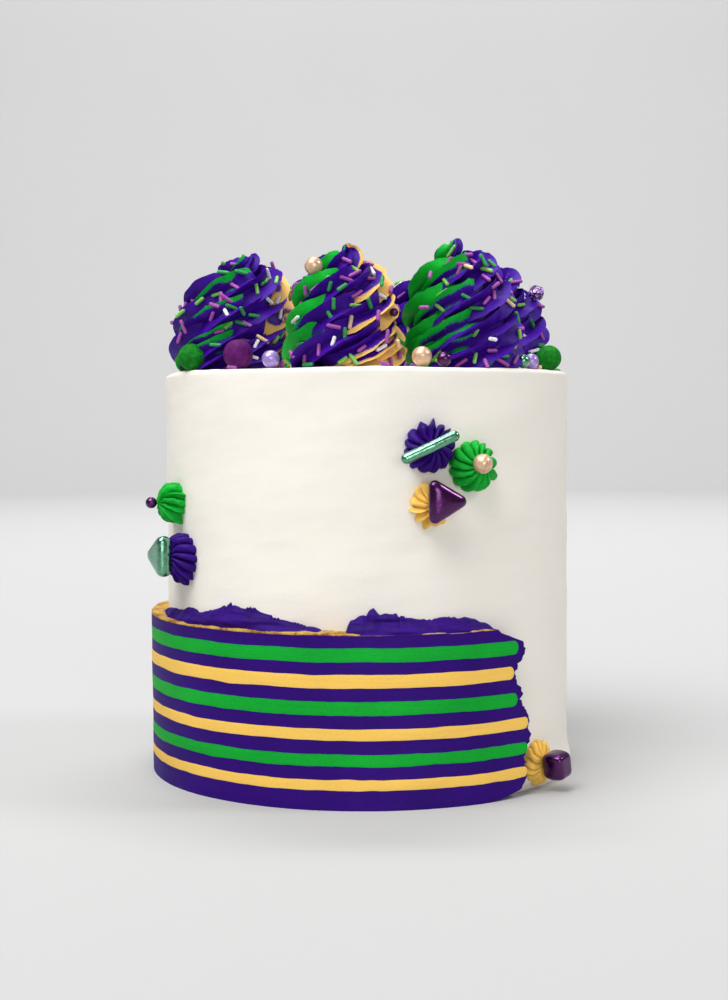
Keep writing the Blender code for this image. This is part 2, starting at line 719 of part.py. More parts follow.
def make_sweet(name, spec, collection):
    shape, colour, angle, height, distance, tilt = spec
    bm = bmesh.new()
    if shape == "rod":
        lying = Matrix.Rotation(math.radians(90), 4, "Y")
        bmesh.ops.create_cone(bm, cap_ends=True, segments=8, radius1=ROD_RADIUS, radius2=ROD_RADIUS,
                              depth=ROD_LENGTH, matrix=lying)
    elif shape == "triangle":
        corner = TRIANGLE_SIDE / math.sqrt(3.0)
        bmesh.ops.create_cone(bm, cap_ends=True, segments=3, radius1=corner, radius2=corner,
                              depth=TRIANGLE_THICKNESS)
        bmesh.ops.rotate(bm, verts=bm.verts, matrix=Matrix.Rotation(math.radians(-90), 3, "Z"))
    else:
        bmesh.ops.create_cube(bm, size=CUBE_SIZE)
    sweet = add_object(name, bm, collection, colour)
    sweet.matrix_world = outward_frame(angle, height * MM, distance * MM, tilt)
    rounded = sweet.modifiers.new("rounded", "BEVEL")
    rounded.width = SWEET_ROUNDING
    rounded.segments = 1
    rounded.limit_method = "ANGLE"
    rounded.angle_limit = math.radians(60)
    return sweet


def make_all():
    clear_scene()
    cake = new_collection("cake")
    body = make_body(cake)
    make_band(cake)
    for name, edge in SMEARS.items():
        make_smear(name, edge, cake)
    on_top = []
    for name, (colour, x, y, height, radius) in BALLS.items():
        place = Vector((x * MM, y * MM, BODY_HEIGHT + height * MM))
        make_ball(name, colour, place, radius * MM, cake)
        on_top.append((place, radius * MM))
    crystal = make_crystal(cake)
    on_top.append((crystal.location.copy(), (CRYSTAL_LEAST + CRYSTAL_SPREAD) * CRYSTAL[4] * MM))
    sweets = [make_sweet(name, spec, cake) for name, spec in SWEETS.items()]
    for name, (colour, angle, height, distance, radius) in SIDE_PEARLS.items():
        place = round_cake(angle, distance * MM, height * MM)
        sweets.append(make_ball(name, colour, place, radius * MM, cake))
    bpy.context.view_layer.update()
    for name, spec in STARS.items():
        make_star(name, spec, cake, sweets)
    make_swirls(cake, on_top)
    top_sprinkles(body, on_top)


make_all()
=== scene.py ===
"""Looks of a tall iced cake: white icing, a striped band, piped swirls and stars, sweets and sprinkles.

Metres, +Z up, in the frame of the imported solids. The front of the cake faces -Y, and angles round it run
from the front, positive towards +X.
"""
import json
import math

import bmesh
import bpy
import numpy as np
from bpy.props import FloatProperty, FloatVectorProperty, IntProperty, PointerProperty
from mathutils import Matrix, Vector

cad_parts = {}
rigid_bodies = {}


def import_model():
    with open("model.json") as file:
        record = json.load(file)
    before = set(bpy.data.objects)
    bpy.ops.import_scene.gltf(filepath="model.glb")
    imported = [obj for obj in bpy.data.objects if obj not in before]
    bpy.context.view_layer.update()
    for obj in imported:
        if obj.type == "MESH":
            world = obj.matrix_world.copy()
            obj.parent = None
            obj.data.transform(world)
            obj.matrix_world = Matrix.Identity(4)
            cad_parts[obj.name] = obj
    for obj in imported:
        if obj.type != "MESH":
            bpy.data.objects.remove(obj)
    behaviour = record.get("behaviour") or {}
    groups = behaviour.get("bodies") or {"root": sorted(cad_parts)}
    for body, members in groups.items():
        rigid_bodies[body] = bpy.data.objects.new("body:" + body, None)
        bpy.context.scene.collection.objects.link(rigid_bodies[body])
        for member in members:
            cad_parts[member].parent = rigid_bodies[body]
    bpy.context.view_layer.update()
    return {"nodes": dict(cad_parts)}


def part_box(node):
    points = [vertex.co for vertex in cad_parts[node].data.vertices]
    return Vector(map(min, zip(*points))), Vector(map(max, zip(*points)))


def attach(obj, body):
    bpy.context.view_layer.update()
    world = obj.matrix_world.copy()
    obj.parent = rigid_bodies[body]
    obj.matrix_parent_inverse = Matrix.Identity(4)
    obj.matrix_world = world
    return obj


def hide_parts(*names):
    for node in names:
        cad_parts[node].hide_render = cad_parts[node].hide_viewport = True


bl_info = {
    "name": "Decorated cake",
    "version": (1, 0, 0),
    "blender": (4, 5, 0),
    "location": "3D View > Sidebar > Cake",
    "description": "Builds an iced cake with a striped band, piped swirls and stars, sweets and sprinkles",
    "category": "Add Mesh",
}

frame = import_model()

MM = 0.001
BODY = "root"

# Driving sizes of the body and the band, in mm and degrees
BODY_RADIUS = 75.0
BODY_HEIGHT = 146.5
RIM_ROUND = 1.7
FOOT_FLARE = 1.6
FOOT_HEIGHT = 13.0
COAT_OUTER = 81.3
COAT_TOP = 58.2
COAT_FAR_END = -232.0
# How deep the band and the smears are bedded in the white icing, and the ledge and the stars
COAT_BEDDING = 0.8
STAR_BEDDING = 0.6
# name: lower and upper edge, and how far the stripe stops short of the torn end, in degrees
STRIPES = {
    "stripe_gold_1": (6.75, 10.25, -0.7),
    "stripe_green_2": (14.7, 18.65, 0.2),
    "stripe_gold_3": (23.4, 27.2, 0.8),
    "stripe_green_4": (31.7, 36.2, 1.2),
    "stripe_gold_5": (40.75, 45.2, 0.4),
    "stripe_green_6": (49.3, 53.9, 2.2),
}
# The band's torn end at the front right, as height and angle
TORN_END = ((0.0, 30.5), (0.6, 33.4), (1.2, 36.0), (2.2, 38.9), (3.4, 41.2), (6.0, 41.8), (10.0, 41.6),
            (14.0, 41.2), (16.4, 42.3), (18.6, 43.0), (21.0, 43.9), (23.4, 42.6), (25.6, 43.4),
            (28.6, 42.6), (31.0, 41.0), (34.6, 40.2), (37.4, 40.6), (39.8, 38.4), (41.8, 38.0),
            (44.4, 38.6), (47.6, 40.4), (50.9, 42.0), (53.2, 40.6), (55.4, 37.0), (57.5, 33.4),
            (60.0, 32.4))
# The gold ledge's edge, as angle and height
RIM_EDGE = ((-232.0, 59.0), (-180.0, 58.8), (-120.0, 59.0), (-90.0, 59.3), (-76.0, 59.5), (-68.0, 58.9),
            (-58.0, 58.6), (-46.0, 58.5), (-36.0, 58.8), (-26.0, 58.6), (-18.0, 58.9), (-10.0, 59.0),
            (-4.0, 58.6), (-1.0, 58.0), (11.0, 57.95), (13.5, 58.45), (15.5, 58.65), (18.5, 58.4),
            (20.0, 57.95), (23.5, 57.95), (26.0, 58.45), (30.0, 58.4), (31.5, 57.95), (36.0, 57.95))
# Each smear's upper edge, as angle and height
SMEARS = {
    "smear_left": ((-78.0, 60.2), (-68.0, 61.4), (-61.0, 61.8), (-55.0, 63.6), (-52.0, 62.2), (-47.0, 62.8),
                   (-42.0, 65.0), (-38.5, 66.4), (-35.0, 65.0), (-31.8, 65.9), (-26.0, 63.2), (-20.0, 61.4),
                   (-14.5, 60.0), (-10.8, 59.3)),
    "smear_right": ((-5.8, 60.0), (-4.6, 62.4), (-2.5, 63.6), (0.0, 64.6), (1.3, 66.2), (3.2, 64.4),
                    (6.8, 64.9), (11.0, 62.8), (15.8, 62.3), (21.5, 62.8), (26.9, 62.2), (31.0, 60.4),
                    (34.0, 59.2)),
    "smear_back": ((150.0, 60.2), (157.0, 63.2), (163.0, 62.4), (170.0, 65.6), (177.0, 64.2), (184.0, 66.2),
                   (191.0, 63.4), (198.0, 62.6), (206.0, 60.2)),
}
# How thick each smear is where it lies on the ledge, how thick all are towards their upper edge and at
# their thinnest, and over how many degrees they run out at both ends
SMEAR_FOOT = {"smear_left": 4.3, "smear_right": 5.4, "smear_back": 4.3}
SMEAR_SKIN = 1.5
SMEAR_THINNEST = 0.5
SMEAR_END = 1.6

SWIRL_RING = 53.5
SWIRL_TEETH = 6
RIDGES_PER_TURN = 8
SWIRL_TWIST = RIDGES_PER_TURN / SWIRL_TEETH
PEAK = 3.0
# Shares of the rope's length at which it starts to climb, to thin out, and to draw up its peak
CLIMB_FROM = 0.17
TIP_FROM = 0.78
PEAK_FROM = 0.9
# name: angle round the cake, radius, height, first turn's start, turns, lean of the tip, its direction, taper
SWIRLS = {
    "swirl_1": (-66.0, 22.8, 42.8, 200.0, 4.4, 7.5, 5.0, 3.4),
    "swirl_2": (-8.0, 21.3, 42.6, 250.0, 4.5, 1.0, 20.0, 2.5),
    "swirl_3": (40.0, 21.8, 45.6, 120.0, 4.5, 3.0, 190.0, 2.9),
    "swirl_4": (107.0, 20.6, 44.0, 60.0, 4.4, 3.5, 180.0, 3.3),
    "swirl_5": (155.0, 21.0, 43.5, 10.0, 4.5, 1.5, 90.0, 2.7),
    "swirl_6": (202.0, 21.2, 44.0, 300.0, 4.4, 2.0, 30.0, 2.8),
    "swirl_7": (248.0, 21.0, 43.2, 330.0, 4.5, 2.0, 10.0, 2.6),
}
# Where each swirl's green and gold came out of the nozzle: middle and half width of each, in degrees
SWIRL_COLOURS = {
    "swirl_1": (-142.0, 15.0, 2.0, 28.0),
    "swirl_2": (185.0, 34.0, -16.0, 37.0),
    "swirl_3": (190.0, 52.0, 60.0, 16.0),
    "swirl_4": (175.0, 34.0, 60.0, 22.0),
    "swirl_5": (120.0, 40.0, 0.0, 30.0),
    "swirl_6": (60.0, 40.0, 200.0, 28.0),
    "swirl_7": (185.0, 40.0, 40.0, 30.0),
}

STAR_TEETH = 13
# Share of a star's ridges that end in a point; the others end round
STAR_POINTED = 0.3
# How much longer and wider some ridges are, how deep the hollows between ridges are, and how much of that
# depth pointed and round ridges lose towards the rim
STAR_LONGER = 0.22
STAR_WIDER = 0.06
STAR_HOLLOW = 0.36
HOLLOW_LOST = (0.45, 0.32)
# How much of its reach a star loses where it is tucked in at the icing, and how far its ridges twist
STAR_TUCK = 0.07
STAR_TWIST = 0.5
STAR_ROWS = 36
STAR_TOOTH_COLUMNS = 18
# name: angle round the cake, height up the side, diameter, how far it stands out
STARS = {
    "star_purple_front": (15.8, 119.8, 18.0, 6.4),
    "star_green_front": (27.7, 113.2, 18.2, 6.6),
    "star_gold_front": (16.5, 101.0, 15.6, 4.8),
    "star_green_left": (-64.3, 99.9, 15.5, 7.6),
    "star_purple_left": (-58.9, 81.0, 18.0, 7.2),
    "star_gold_foot": (51.0, 8.8, 16.4, 4.4),
    "star_green_back": (152.0, 118.0, 17.0, 6.6),
    "star_purple_back": (163.5, 110.5, 18.0, 6.6),
    "star_gold_back": (152.5, 100.5, 15.5, 6.2),
}

# name: shape, coating, angle round the cake, height up the side, distance from the axis, tilt
SWEETS = {
    "sweet_rod": ("rod", "mint_metallic", 14.4, 119.8, 83.6, 24.0),
    "sweet_triangle_front": ("triangle", "violet_metallic", 17.8, 101.8, 82.2, 0.0),
    "sweet_triangle_left": ("triangle", "mint_metallic", -60.4, 81.6, 83.9, 180.0),
    "sweet_cube": ("cube", "violet_metallic", 50.6, 9.0, 84.6, 10.0),
}
ROD_LENGTH = 21.5
ROD_RADIUS = 1.85
TRIANGLE_SIDE = 17.5
TRIANGLE_CORNER = 2.1
TRIANGLE_THICKNESS = 5.2
TRIANGLE_FULLNESS = {"sweet_triangle_front": 3.0, "sweet_triangle_left": 9.0}
CUBE_SIZE = 8.1
CUBE_HEIGHT = 9.4
CUBE_CORNER = 1.9
CUBE_FULLNESS = 8.0
# The lump of coarse sugar: its radius as a share of its solid's height, and the number of its flat faces
CRYSTAL_SHARE = 0.62
CRYSTAL_CUTS = 46

# How a node's name starts, and the finish of that ball
BALL_FINISHES = {
    "ball_green": "green_chocolate",
    "ball_purple": "purple_chocolate",
    "ball_plum": "violet_metallic",
    "ball_mint": "mint_metallic",
    "pearl_gold": "gold_pearl",
    "pearl_lilac": "lilac_pearl",
}

# name: share of the draw from and to, linear colour
SPRINKLE_KINDS = {
    "orchid": (0.0, 0.40, (0.33, 0.06, 0.34)),
    "green": (0.40, 0.60, (0.01, 0.26, 0.05)),
    "light_green": (0.60, 0.78, (0.20, 0.52, 0.09)),
    "white": (0.78, 0.94, (0.80, 0.78, 0.80)),
    "cream": (0.94, 1.0, (0.78, 0.55, 0.30)),
}

# The camera's place and lens, from the photo
CAMERA_DISTANCE = 585.0
CAMERA_HEIGHT = 125.4
CAMERA_PITCH = -0.045
CAMERA_ROLL = -0.006
CAMERA_FOCAL = 1.5447
CAMERA_SHIFT = -0.00302
SENSOR = 36.0

# In metres: where the stage's floor starts to curve up, the radius of that curve, and the top of the wall
FLOOR_REACH = 2.6
FLOOR_CURVE = 1.2
WALL_TOP = 3.4
CAKE_MIDDLE = (0.0, 0.0, 0.09)
# name: place, what it is aimed at, diameter, name of its power setting
LIGHTS = {
    "key": ((-0.5, -0.6, 1.45), CAKE_MIDDLE, 1.3, "key_power"),
    "rim": ((1.33, -0.10, 1.10), CAKE_MIDDLE, 0.4, "rim_power"),
    "fill": ((0.6, -2.5, 0.5), CAKE_MIDDLE, 1.4, "fill_power"),
    "backdrop_light": ((0.0, 0.9, 2.6), (0.0, 3.6, 0.9), 1.6, "backdrop_power"),
}


def colour_setting(name, description, default):
    return FloatVectorProperty(name=name, description=description, subtype="COLOR", default=default)


class CakeColours(bpy.types.PropertyGroup):
    """Linear colours of the icings and the sweets"""

    white: colour_setting("White icing", "Icing that covers the cake", (0.825, 0.785, 0.715))
    purple: colour_setting("Purple icing", "Band, smears, stars and swirls", (0.026, 0.0026, 0.152))
    green: colour_setting("Green icing", "Stripes, stars and swirls", (0.005, 0.35, 0.030))
    gold: colour_setting("Gold icing", "Stripes, stars and swirls", (0.86, 0.535, 0.108))
    leaf: colour_setting("Green balls", "Matte coated balls", (0.006, 0.17, 0.012))
    plum: colour_setting("Purple balls", "Matte coated balls", (0.092, 0.009, 0.110))
    lilac: colour_setting("Lilac pearls", "Sugar pearls", (0.36, 0.25, 0.62))
    pearl: colour_setting("Gold pearls", "Sugar pearls", (0.66, 0.43, 0.27))
    violet: colour_setting("Violet sweets", "Dark metallic coating", (0.080, 0.010, 0.098))
    mint: colour_setting("Mint sweets", "Light metallic coating", (0.14, 0.37, 0.235))


class SwirlSizes(bpy.types.PropertyGroup):
    """Sizes of the piped swirls"""

    groove: FloatProperty(name="Groove depth", description="Depth of the grooves as a share of the rope",
                          default=0.57, min=0.0, max=0.7)
    groove_shape: FloatProperty(name="Groove shape", default=0.78, min=0.4, max=2.0,
                                description="Below 1 the crests between grooves are sharp")
    rope_share: FloatProperty(name="Rope share", description="Rope radius as a share of the swirl's radius",
                              default=0.385, min=0.2, max=0.6)
    steps: IntProperty(name="Steps", description="Sections along one rope", default=350, min=40, max=800)
    points_per_tooth: IntProperty(name="Points per tooth", description="Points across one ridge",
                                  default=19, min=4, max=24)
    face_colour: FloatProperty(name="Face colour", default=16.0,
                               description="Degrees that a colour reaches further on one face of a ridge")
    unevenness: FloatProperty(name="Unevenness", description="How far ridges swell and shrink by hand",
                              default=0.075, min=0.0, max=0.3)


class SprinkleSizes(bpy.types.PropertyGroup):
    """Sizes and amount of the sugar sprinkles"""

    length: FloatProperty(name="Length", description="Length of a sprinkle", unit="LENGTH",
                          default=4.7 * MM, min=1.0 * MM)
    radius: FloatProperty(name="Radius", description="Radius of a sprinkle", unit="LENGTH",
                          default=0.68 * MM, min=0.2 * MM)
    apart: FloatProperty(name="Least distance", description="Least distance between two sprinkles",
                         unit="LENGTH", default=3.0 * MM, min=1.0 * MM)
    density: FloatProperty(name="Density", description="Sprinkles thrown for each square metre",
                           default=19000.0, min=0.0)
    seed: IntProperty(name="Seed", description="Seed of every draw", default=7)


class StageSettings(bpy.types.PropertyGroup):
    """Colour of the floor and power of the lights"""

    floor_colour: colour_setting("Floor", "Colour of floor and backdrop", (0.43, 0.43, 0.43))
    key_power: FloatProperty(name="Key light", description="Power of the large light above in watts",
                             default=31.5, min=0.0)
    rim_power: FloatProperty(name="Rim light", description="Power of the light at the right in watts",
                             default=8.0, min=0.0)
    fill_power: FloatProperty(name="Fill light", description="Power of the weak light in front in watts",
                              default=19.0, min=0.0)
    backdrop_power: FloatProperty(name="Backdrop light", default=130.0, min=0.0,
                                  description="Power of the light on the wall in watts")
    sky: FloatProperty(name="Sky", description="Strength of the light from all round",
                       default=0.3, min=0.0)


# Shader maths as plain expressions

class Value:
    """A number on a socket of a material. An expression on values adds its Math nodes."""

    def __init__(self, finish, socket):
        self.finish = finish
        self.socket = socket

    def __add__(self, other):
        return self.finish.math("ADD", self, other)

    def __sub__(self, other):
        return self.finish.math("SUBTRACT", self, other)

    def __mul__(self, other):
        return self.finish.math("MULTIPLY", self, other)

    __radd__ = __add__
    __rmul__ = __mul__


class Finish:
    """One procedural material on a Principled shader. Sizes and depths are in mm."""

    def __init__(self, name):
        self.material = bpy.data.materials.new("look_" + name)
        self.material.use_nodes = True
        self.tree = self.material.node_tree
        self.tree.nodes.clear()
        self.place = self.node("ShaderNodeTexCoord")["Object"]

    def node(self, kind, settings=None, inputs=None):
        """A node with its settings made first, then values or links on its sockets; returns its outputs."""
        made = self.tree.nodes.new(kind)
        for key, value in (settings or {}).items():
            setattr(made, key, value)
        for key, value in (inputs or {}).items():
            if isinstance(value, Value):
                self.tree.links.new(value.socket, made.inputs[key])
            elif isinstance(value, tuple) and len(made.inputs[key].default_value) == 4:
                made.inputs[key].default_value = (*value[:3], 1.0)
            else:
                made.inputs[key].default_value = value
        return {socket.name: Value(self, socket) for socket in made.outputs if not socket.is_unavailable}

    def math(self, operation, first, second):
        return self.node("ShaderNodeMath", {"operation": operation}, {0: first, 1: second})["Value"]

    def limit(self, value, low, high):
        """0 below low and 1 above high, smooth between."""
        return self.node("ShaderNodeMapRange", {"interpolation_type": "SMOOTHSTEP"},
                         {"Value": value, "From Min": low, "From Max": high})["Result"]

    def mix(self, share, first, second, blend="MIX"):
        """Two colours mixed by a share."""
        return self.node("ShaderNodeMix", {"data_type": "RGBA", "blend_type": blend},
                         {0: share, 6: first, 7: second})["Result"]

    def shades(self, value, low, high, colour, dark, light):
        """A colour from dark to light times itself as a value goes from low to high."""
        return self.mix(self.limit(value, low, high), tone(colour, dark), tone(colour, light))

    def tinted(self, colour, tint):
        return self.mix(1.0, colour, tint, "MULTIPLY")

    def split(self, colour):
        return self.node("ShaderNodeSeparateColor", None, {"Color": colour})

    def noise(self, size, detail=2.0, stretch=None):
        """Cloudy noise from 0 to 1 whose features are about this size, drawn out where stretch is small."""
        where = self.place
        if stretch:
            where = self.node("ShaderNodeMapping", None, {"Vector": where, "Scale": stretch})["Vector"]
        return self.node("ShaderNodeTexNoise", None, {
            "Vector": where, "Scale": 1.0 / (size * MM), "Detail": detail})["Fac"]

    def cells(self, size):
        return self.node("ShaderNodeTexVoronoi", {"feature": "F1"},
                         {"Vector": self.place, "Scale": 1.0 / (size * MM)})

    def relief(self, *layers):
        """Bumps laid over each other, each a height and a depth."""
        normal = {}
        for height, depth in layers:
            inputs = {"Height": height, "Distance": depth * MM, **normal}
            normal = {"Normal": self.node("ShaderNodeBump", None, inputs)["Normal"]}
        return normal["Normal"]

    def surface(self, colour, roughness, normal=None, metallic=0.0, **constants):
        inputs = {"Base Color": colour, "Roughness": roughness, "Metallic": metallic}
        if normal is not None:
            inputs["Normal"] = normal
        for key, value in constants.items():
            inputs[key.replace("_", " ").title().replace("Ior", "IOR")] = value
        shader = self.node("ShaderNodeBsdfPrincipled", None, inputs)["BSDF"]
        self.node("ShaderNodeOutputMaterial", None, {"Surface": shader})
        return self.material


def tone(colour, factor):
    return tuple(min(1.0, channel * factor) for channel in colour)


# Materials

ICING_GLOSS = 0.08
PIPED_GLOSS = 0.11
# How the purple, green and gold are deepened or lightened where they are piped in the swirls
SWIRL_TINTS = ((1.6, 1.0, 1.65), (0.9, 1.12, 1.05), (0.86, 0.83, 1.15))
# Painted shade at the bottom of a groove: what is left of a colour there, and the brown the gold turns to
# there; and the painted highlight on a crest
PAINTED_GROOVE_SHADE = (0.55, 0.5, 0.6)
PAINTED_GOLD_GROOVE_SHADE = (0.30, 0.125, 0.03)
PAINTED_CREST_HIGHLIGHT = (1.5, 1.5, 1.5)
# What is left of the gold in the ledge's brown patches
BROWN_PATCH_TINT = (0.24, 0.13, 0.2)
# Light lilac painted on random facets of the sugar lump as glints
PAINTED_GLINT = (0.55, 0.38, 0.85)


def white_icing(finish, colour):
    """White icing smoothed by hand: broad clouds, level streaks and fine grain."""
    broad = finish.noise(60)
    streaks = finish.noise(9, 3.0, (0.25, 0.25, 2.2))
    grain = finish.noise(0.9)
    shade = finish.mix(broad, tone(colour, 0.975), tone(colour, 1.02))
    shade = finish.mix(finish.limit(streaks, 0.35, 0.75) * 0.5, shade, tone(colour, 1.01))
    normal = finish.relief((streaks, 0.08), (grain, 0.04))
    return finish.surface(shade, 0.45 + 0.2 * streaks, normal, Specular_Ior_Level=0.3, Subsurface_Weight=0.12,
                          Subsurface_Radius=(1.0, 0.8, 0.6), Subsurface_Scale=2.0 * MM)


def smooth_icing(finish, colour, variation):
    """Coloured icing drawn flat with a scraper: fine level streaks and grain."""
    broad = finish.noise(24)
    streaks = finish.noise(3.2, 3.0, (0.12, 0.12, 2.4))
    grain = finish.noise(0.55)
    shade = finish.shades(broad * 0.5 + grain * 0.5, 0.3, 0.7, colour, 1.0 - variation, 1.0 + variation)
    normal = finish.relief((streaks, 0.12), (grain, 0.05))
    return finish.surface(shade, 0.45 + 0.2 * streaks, normal, Specular_Ior_Level=ICING_GLOSS)


def ledge_icing(finish, colour):
    """Gold icing left uneven on top of the band: darker gold with brown patches."""
    patches = finish.noise(5.0, 3.0)
    grain = finish.noise(0.9, 3.0)
    brown = tuple(channel * left for channel, left in zip(colour, BROWN_PATCH_TINT))
    shade = finish.mix(finish.limit(patches * 0.6 + grain * 0.4, 0.42, 0.64), tone(colour, 0.6), brown)
    normal = finish.relief((patches, 0.5), (grain, 0.2))
    return finish.surface(shade, 0.5 + 0.2 * grain, normal, Specular_Ior_Level=ICING_GLOSS)


def torn_icing(finish, colour):
    """Icing dragged thin: rough streaks, lighter and darker along them."""
    streaks = finish.noise(2.4, 4.0, (0.22, 0.22, 1.8))
    lumps = finish.noise(1.6, 3.0)
    shade = finish.shades(streaks, 0.35, 0.7, colour, 0.72, 1.15)
    normal = finish.relief((streaks, 0.22), (lumps, 0.14))
    return finish.surface(shade, 0.5 + 0.15 * lumps, normal, Specular_Ior_Level=ICING_GLOSS)


def piped_icing(finish, colour):
    """Icing pressed through a nozzle: soft pits and a faint drawn grain."""
    clouds = finish.noise(4.5, 3.0)
    grain = finish.noise(0.6)
    shade = finish.shades(clouds, 0.3, 0.7, colour, 0.86, 1.16)
    normal = finish.relief((clouds, 0.15), (grain, 0.06))
    return finish.surface(shade, 0.40 + 0.16 * clouds, normal, Specular_Ior_Level=PIPED_GLOSS)


def swirl_icing(finish, *colours):
    """Three icings piped together. The attribute holds the shares of green, gold, crest and groove; crest
    places a painted highlight, groove a painted shade.
    """
    purple, green, gold = (tuple(a * b for a, b in zip(*pair)) for pair in zip(colours, SWIRL_TINTS))
    shares = finish.node("ShaderNodeAttribute", {"attribute_name": "icing_shares"})
    groove = shares["Alpha"]
    split = finish.split(shares["Color"])
    clouds = finish.noise(5.0, 3.0)
    speckle = finish.noise(0.7)
    wander = (clouds - 0.5) * 0.45 + (speckle - 0.5) * 0.55
    green_mask = finish.limit(split["Red"] + wander, 0.3, 0.7)
    gold_mask = finish.limit(split["Green"] + 0.4 * wander, 0.36, 0.64)
    mottle = finish.limit(clouds * 0.6 + speckle * 0.4, 0.32, 0.68)
    shade = finish.mix(mottle, tone(purple, 0.84), tone(purple, 1.2))
    shade = finish.mix(green_mask, shade, finish.mix(mottle, tone(green, 0.82), tone(green, 1.15)))
    # Painted shade: every colour darkened towards the bottom of the grooves
    shade = finish.mix(groove * 0.75, shade, finish.tinted(shade, PAINTED_GROOVE_SHADE))
    yellow = finish.mix(mottle, tone(gold, 0.88), tone(gold, 1.06))
    # Painted shade: the gold turns brown towards the bottom of the grooves
    shade = finish.mix(gold_mask, shade, finish.mix(groove * 0.85, yellow, PAINTED_GOLD_GROOVE_SHADE))
    # Painted highlight: the crests made lighter
    shade = finish.mix(split["Blue"] * 0.18, shade, finish.tinted(shade, PAINTED_CREST_HIGHLIGHT))
    normal = finish.relief((clouds, 0.2), (speckle, 0.07))
    return finish.surface(shade, 0.40 + 0.16 * clouds, normal, Specular_Ior_Level=PIPED_GLOSS)


def coated_chocolate(finish, colour):
    """A matte ball dusted with colour: fine lighter dots, partly dust and partly painted glints, and scuffs.
    """
    dust_and_glint_dots = finish.cells(0.9)["Distance"]
    scuffs = finish.noise(1.8, 3.0)
    shade = finish.shades(scuffs, 0.35, 0.7, colour, 0.75, 1.3)
    # Painted glints, partly real dust: small dots made much lighter
    shade = finish.mix(finish.limit(dust_and_glint_dots, 0.34, 0.12) * 0.2, shade, tone(colour, 2.4))
    normal = finish.relief((scuffs, 0.12))
    return finish.surface(shade, 0.5 + 0.2 * scuffs, normal, Specular_Ior_Level=ICING_GLOSS)


def sugar_pearl(finish, colour):
    clouds = finish.noise(1.9, 3.0)
    dimples = finish.noise(0.9)
    shade = finish.shades(clouds, 0.35, 0.65, colour, 0.86, 1.16)
    normal = finish.relief((dimples, 0.09))
    return finish.surface(shade, 0.22 + 0.16 * dimples, normal, 0.35, Coat_Weight=0.5, Coat_Roughness=0.12)


def metallic_coating(finish, colour, roughness):
    """Sugar coated with metallic dust: brushed, with small dents."""
    brushed = finish.noise(0.7, 3.0)
    dents = finish.noise(4.0)
    shade = finish.shades(brushed, 0.3, 0.7, colour, 0.8, 1.2)
    normal = finish.relief((dents, 0.22), (brushed, 0.02))
    return finish.surface(shade, roughness + 0.12 * brushed, normal, 0.95,
                          Coat_Weight=0.5, Coat_Roughness=0.05)


def glitter_sugar(finish, colour):
    facets = finish.cells(0.8)
    lit = finish.split(facets["Color"])["Red"]
    # Painted glints: random facets turned light lilac
    shade = finish.mix(finish.limit(lit, 0.55, 0.95), tone(colour, 0.8), PAINTED_GLINT)
    normal = finish.relief((facets["Distance"], 0.35))
    return finish.surface(shade, 0.2 + 0.2 * lit, normal, 0.5)


def sprinkle_sugar(finish, colour):
    piece = finish.noise(7.0, 0.0)
    grain = finish.noise(0.5)
    shade = finish.shades(piece, 0.3, 0.7, colour, 0.8, 1.12)
    normal = finish.relief((grain, 0.06))
    return finish.surface(shade, 0.45 + 0.2 * grain, normal)


def studio_paper(finish, colour):
    shade = finish.mix(finish.noise(400), tone(colour, 0.985), tone(colour, 1.01))
    return finish.surface(shade, 0.9)


# name: how it is made, the settings that hold its colours, and what else it is given
MATERIALS = {
    "white_icing": (white_icing, "white"),
    "purple_icing": (smooth_icing, "purple", 0.16),
    "green_icing": (smooth_icing, "green", 0.12),
    "gold_icing": (smooth_icing, "gold", 0.06),
    "torn_purple": (torn_icing, "purple"),
    "torn_gold": (ledge_icing, "gold"),
    "piped_purple": (piped_icing, "purple"),
    "piped_green": (piped_icing, "green"),
    "piped_gold": (piped_icing, "gold"),
    "swirl_icing": (swirl_icing, "purple green gold"),
    "green_chocolate": (coated_chocolate, "leaf"),
    "purple_chocolate": (coated_chocolate, "plum"),
    "lilac_pearl": (sugar_pearl, "lilac"),
    "gold_pearl": (sugar_pearl, "pearl"),
    "violet_metallic": (metallic_coating, "violet", 0.19),
    "mint_metallic": (metallic_coating, "mint", 0.15),
    "glitter_sugar": (glitter_sugar, "violet"),
}


def material(name):
    """A finish from the table, made when it is first asked for."""
    if "look_" + name in bpy.data.materials:
        return bpy.data.materials["look_" + name]
    make, keys, *more = MATERIALS[name]
    colours = [tuple(getattr(bpy.context.scene.cake_colours, key)) for key in keys.split()]
    return make(Finish(name), *colours, *more)


# Shapes

def round_cake(angle, radius, height):
    """Points at angles in degrees from the front; sizes in mm, result in metres."""
    angle, radius, height = np.broadcast_arrays(np.radians(angle), radius, height)
    return np.stack([radius * np.sin(angle), -radius * np.cos(angle), height], axis=-1) * MM


def between(points, where):
    """Read a height or an angle off a short list of points."""
    return np.interp(where, [point[0] for point in points], [point[1] for point in points])


def clamp(value):
    return np.clip(value, 0.0, 1.0)


def share_past(share, start):
    """0 up to a start, then rising to 1 at 1."""
    return clamp((share - start) / (1.0 - start))


def unit(vectors):
    return vectors / np.linalg.norm(vectors, axis=-1, keepdims=True)


WAVE_COUNT = 7


def waves(points, size, seed):
    """Smooth unevenness from about -1 to 1: seeded waves of about this size in random directions."""
    draw = np.random.RandomState(seed)
    total = np.zeros(points.shape[:-1])
    for _ in range(WAVE_COUNT):
        direction = draw.normal(size=points.shape[-1])
        direction /= np.linalg.norm(direction)
        length = size * (0.6 + 0.9 * draw.random_sample())
        total += np.sin(2.0 * math.pi * (points @ direction) / length + 2.0 * math.pi * draw.random_sample())
    return total / math.sqrt(WAVE_COUNT)


def ripples(points, *layers):
    """Waves laid over each other, each a depth, a size and a seed."""
    return sum(depth * waves(points, size, seed) for depth, size, seed in layers)


def jitter(points, depth, size, seed):
    """Waves on all three axes, to move points by."""
    return depth * np.stack([waves(points, size, seed + axis) for axis in range(3)], axis=-1)


def taller(points, factor):
    """Points with their heights stretched, so that waves read there lie more level."""
    return points * np.array([1.0, 1.0, factor])


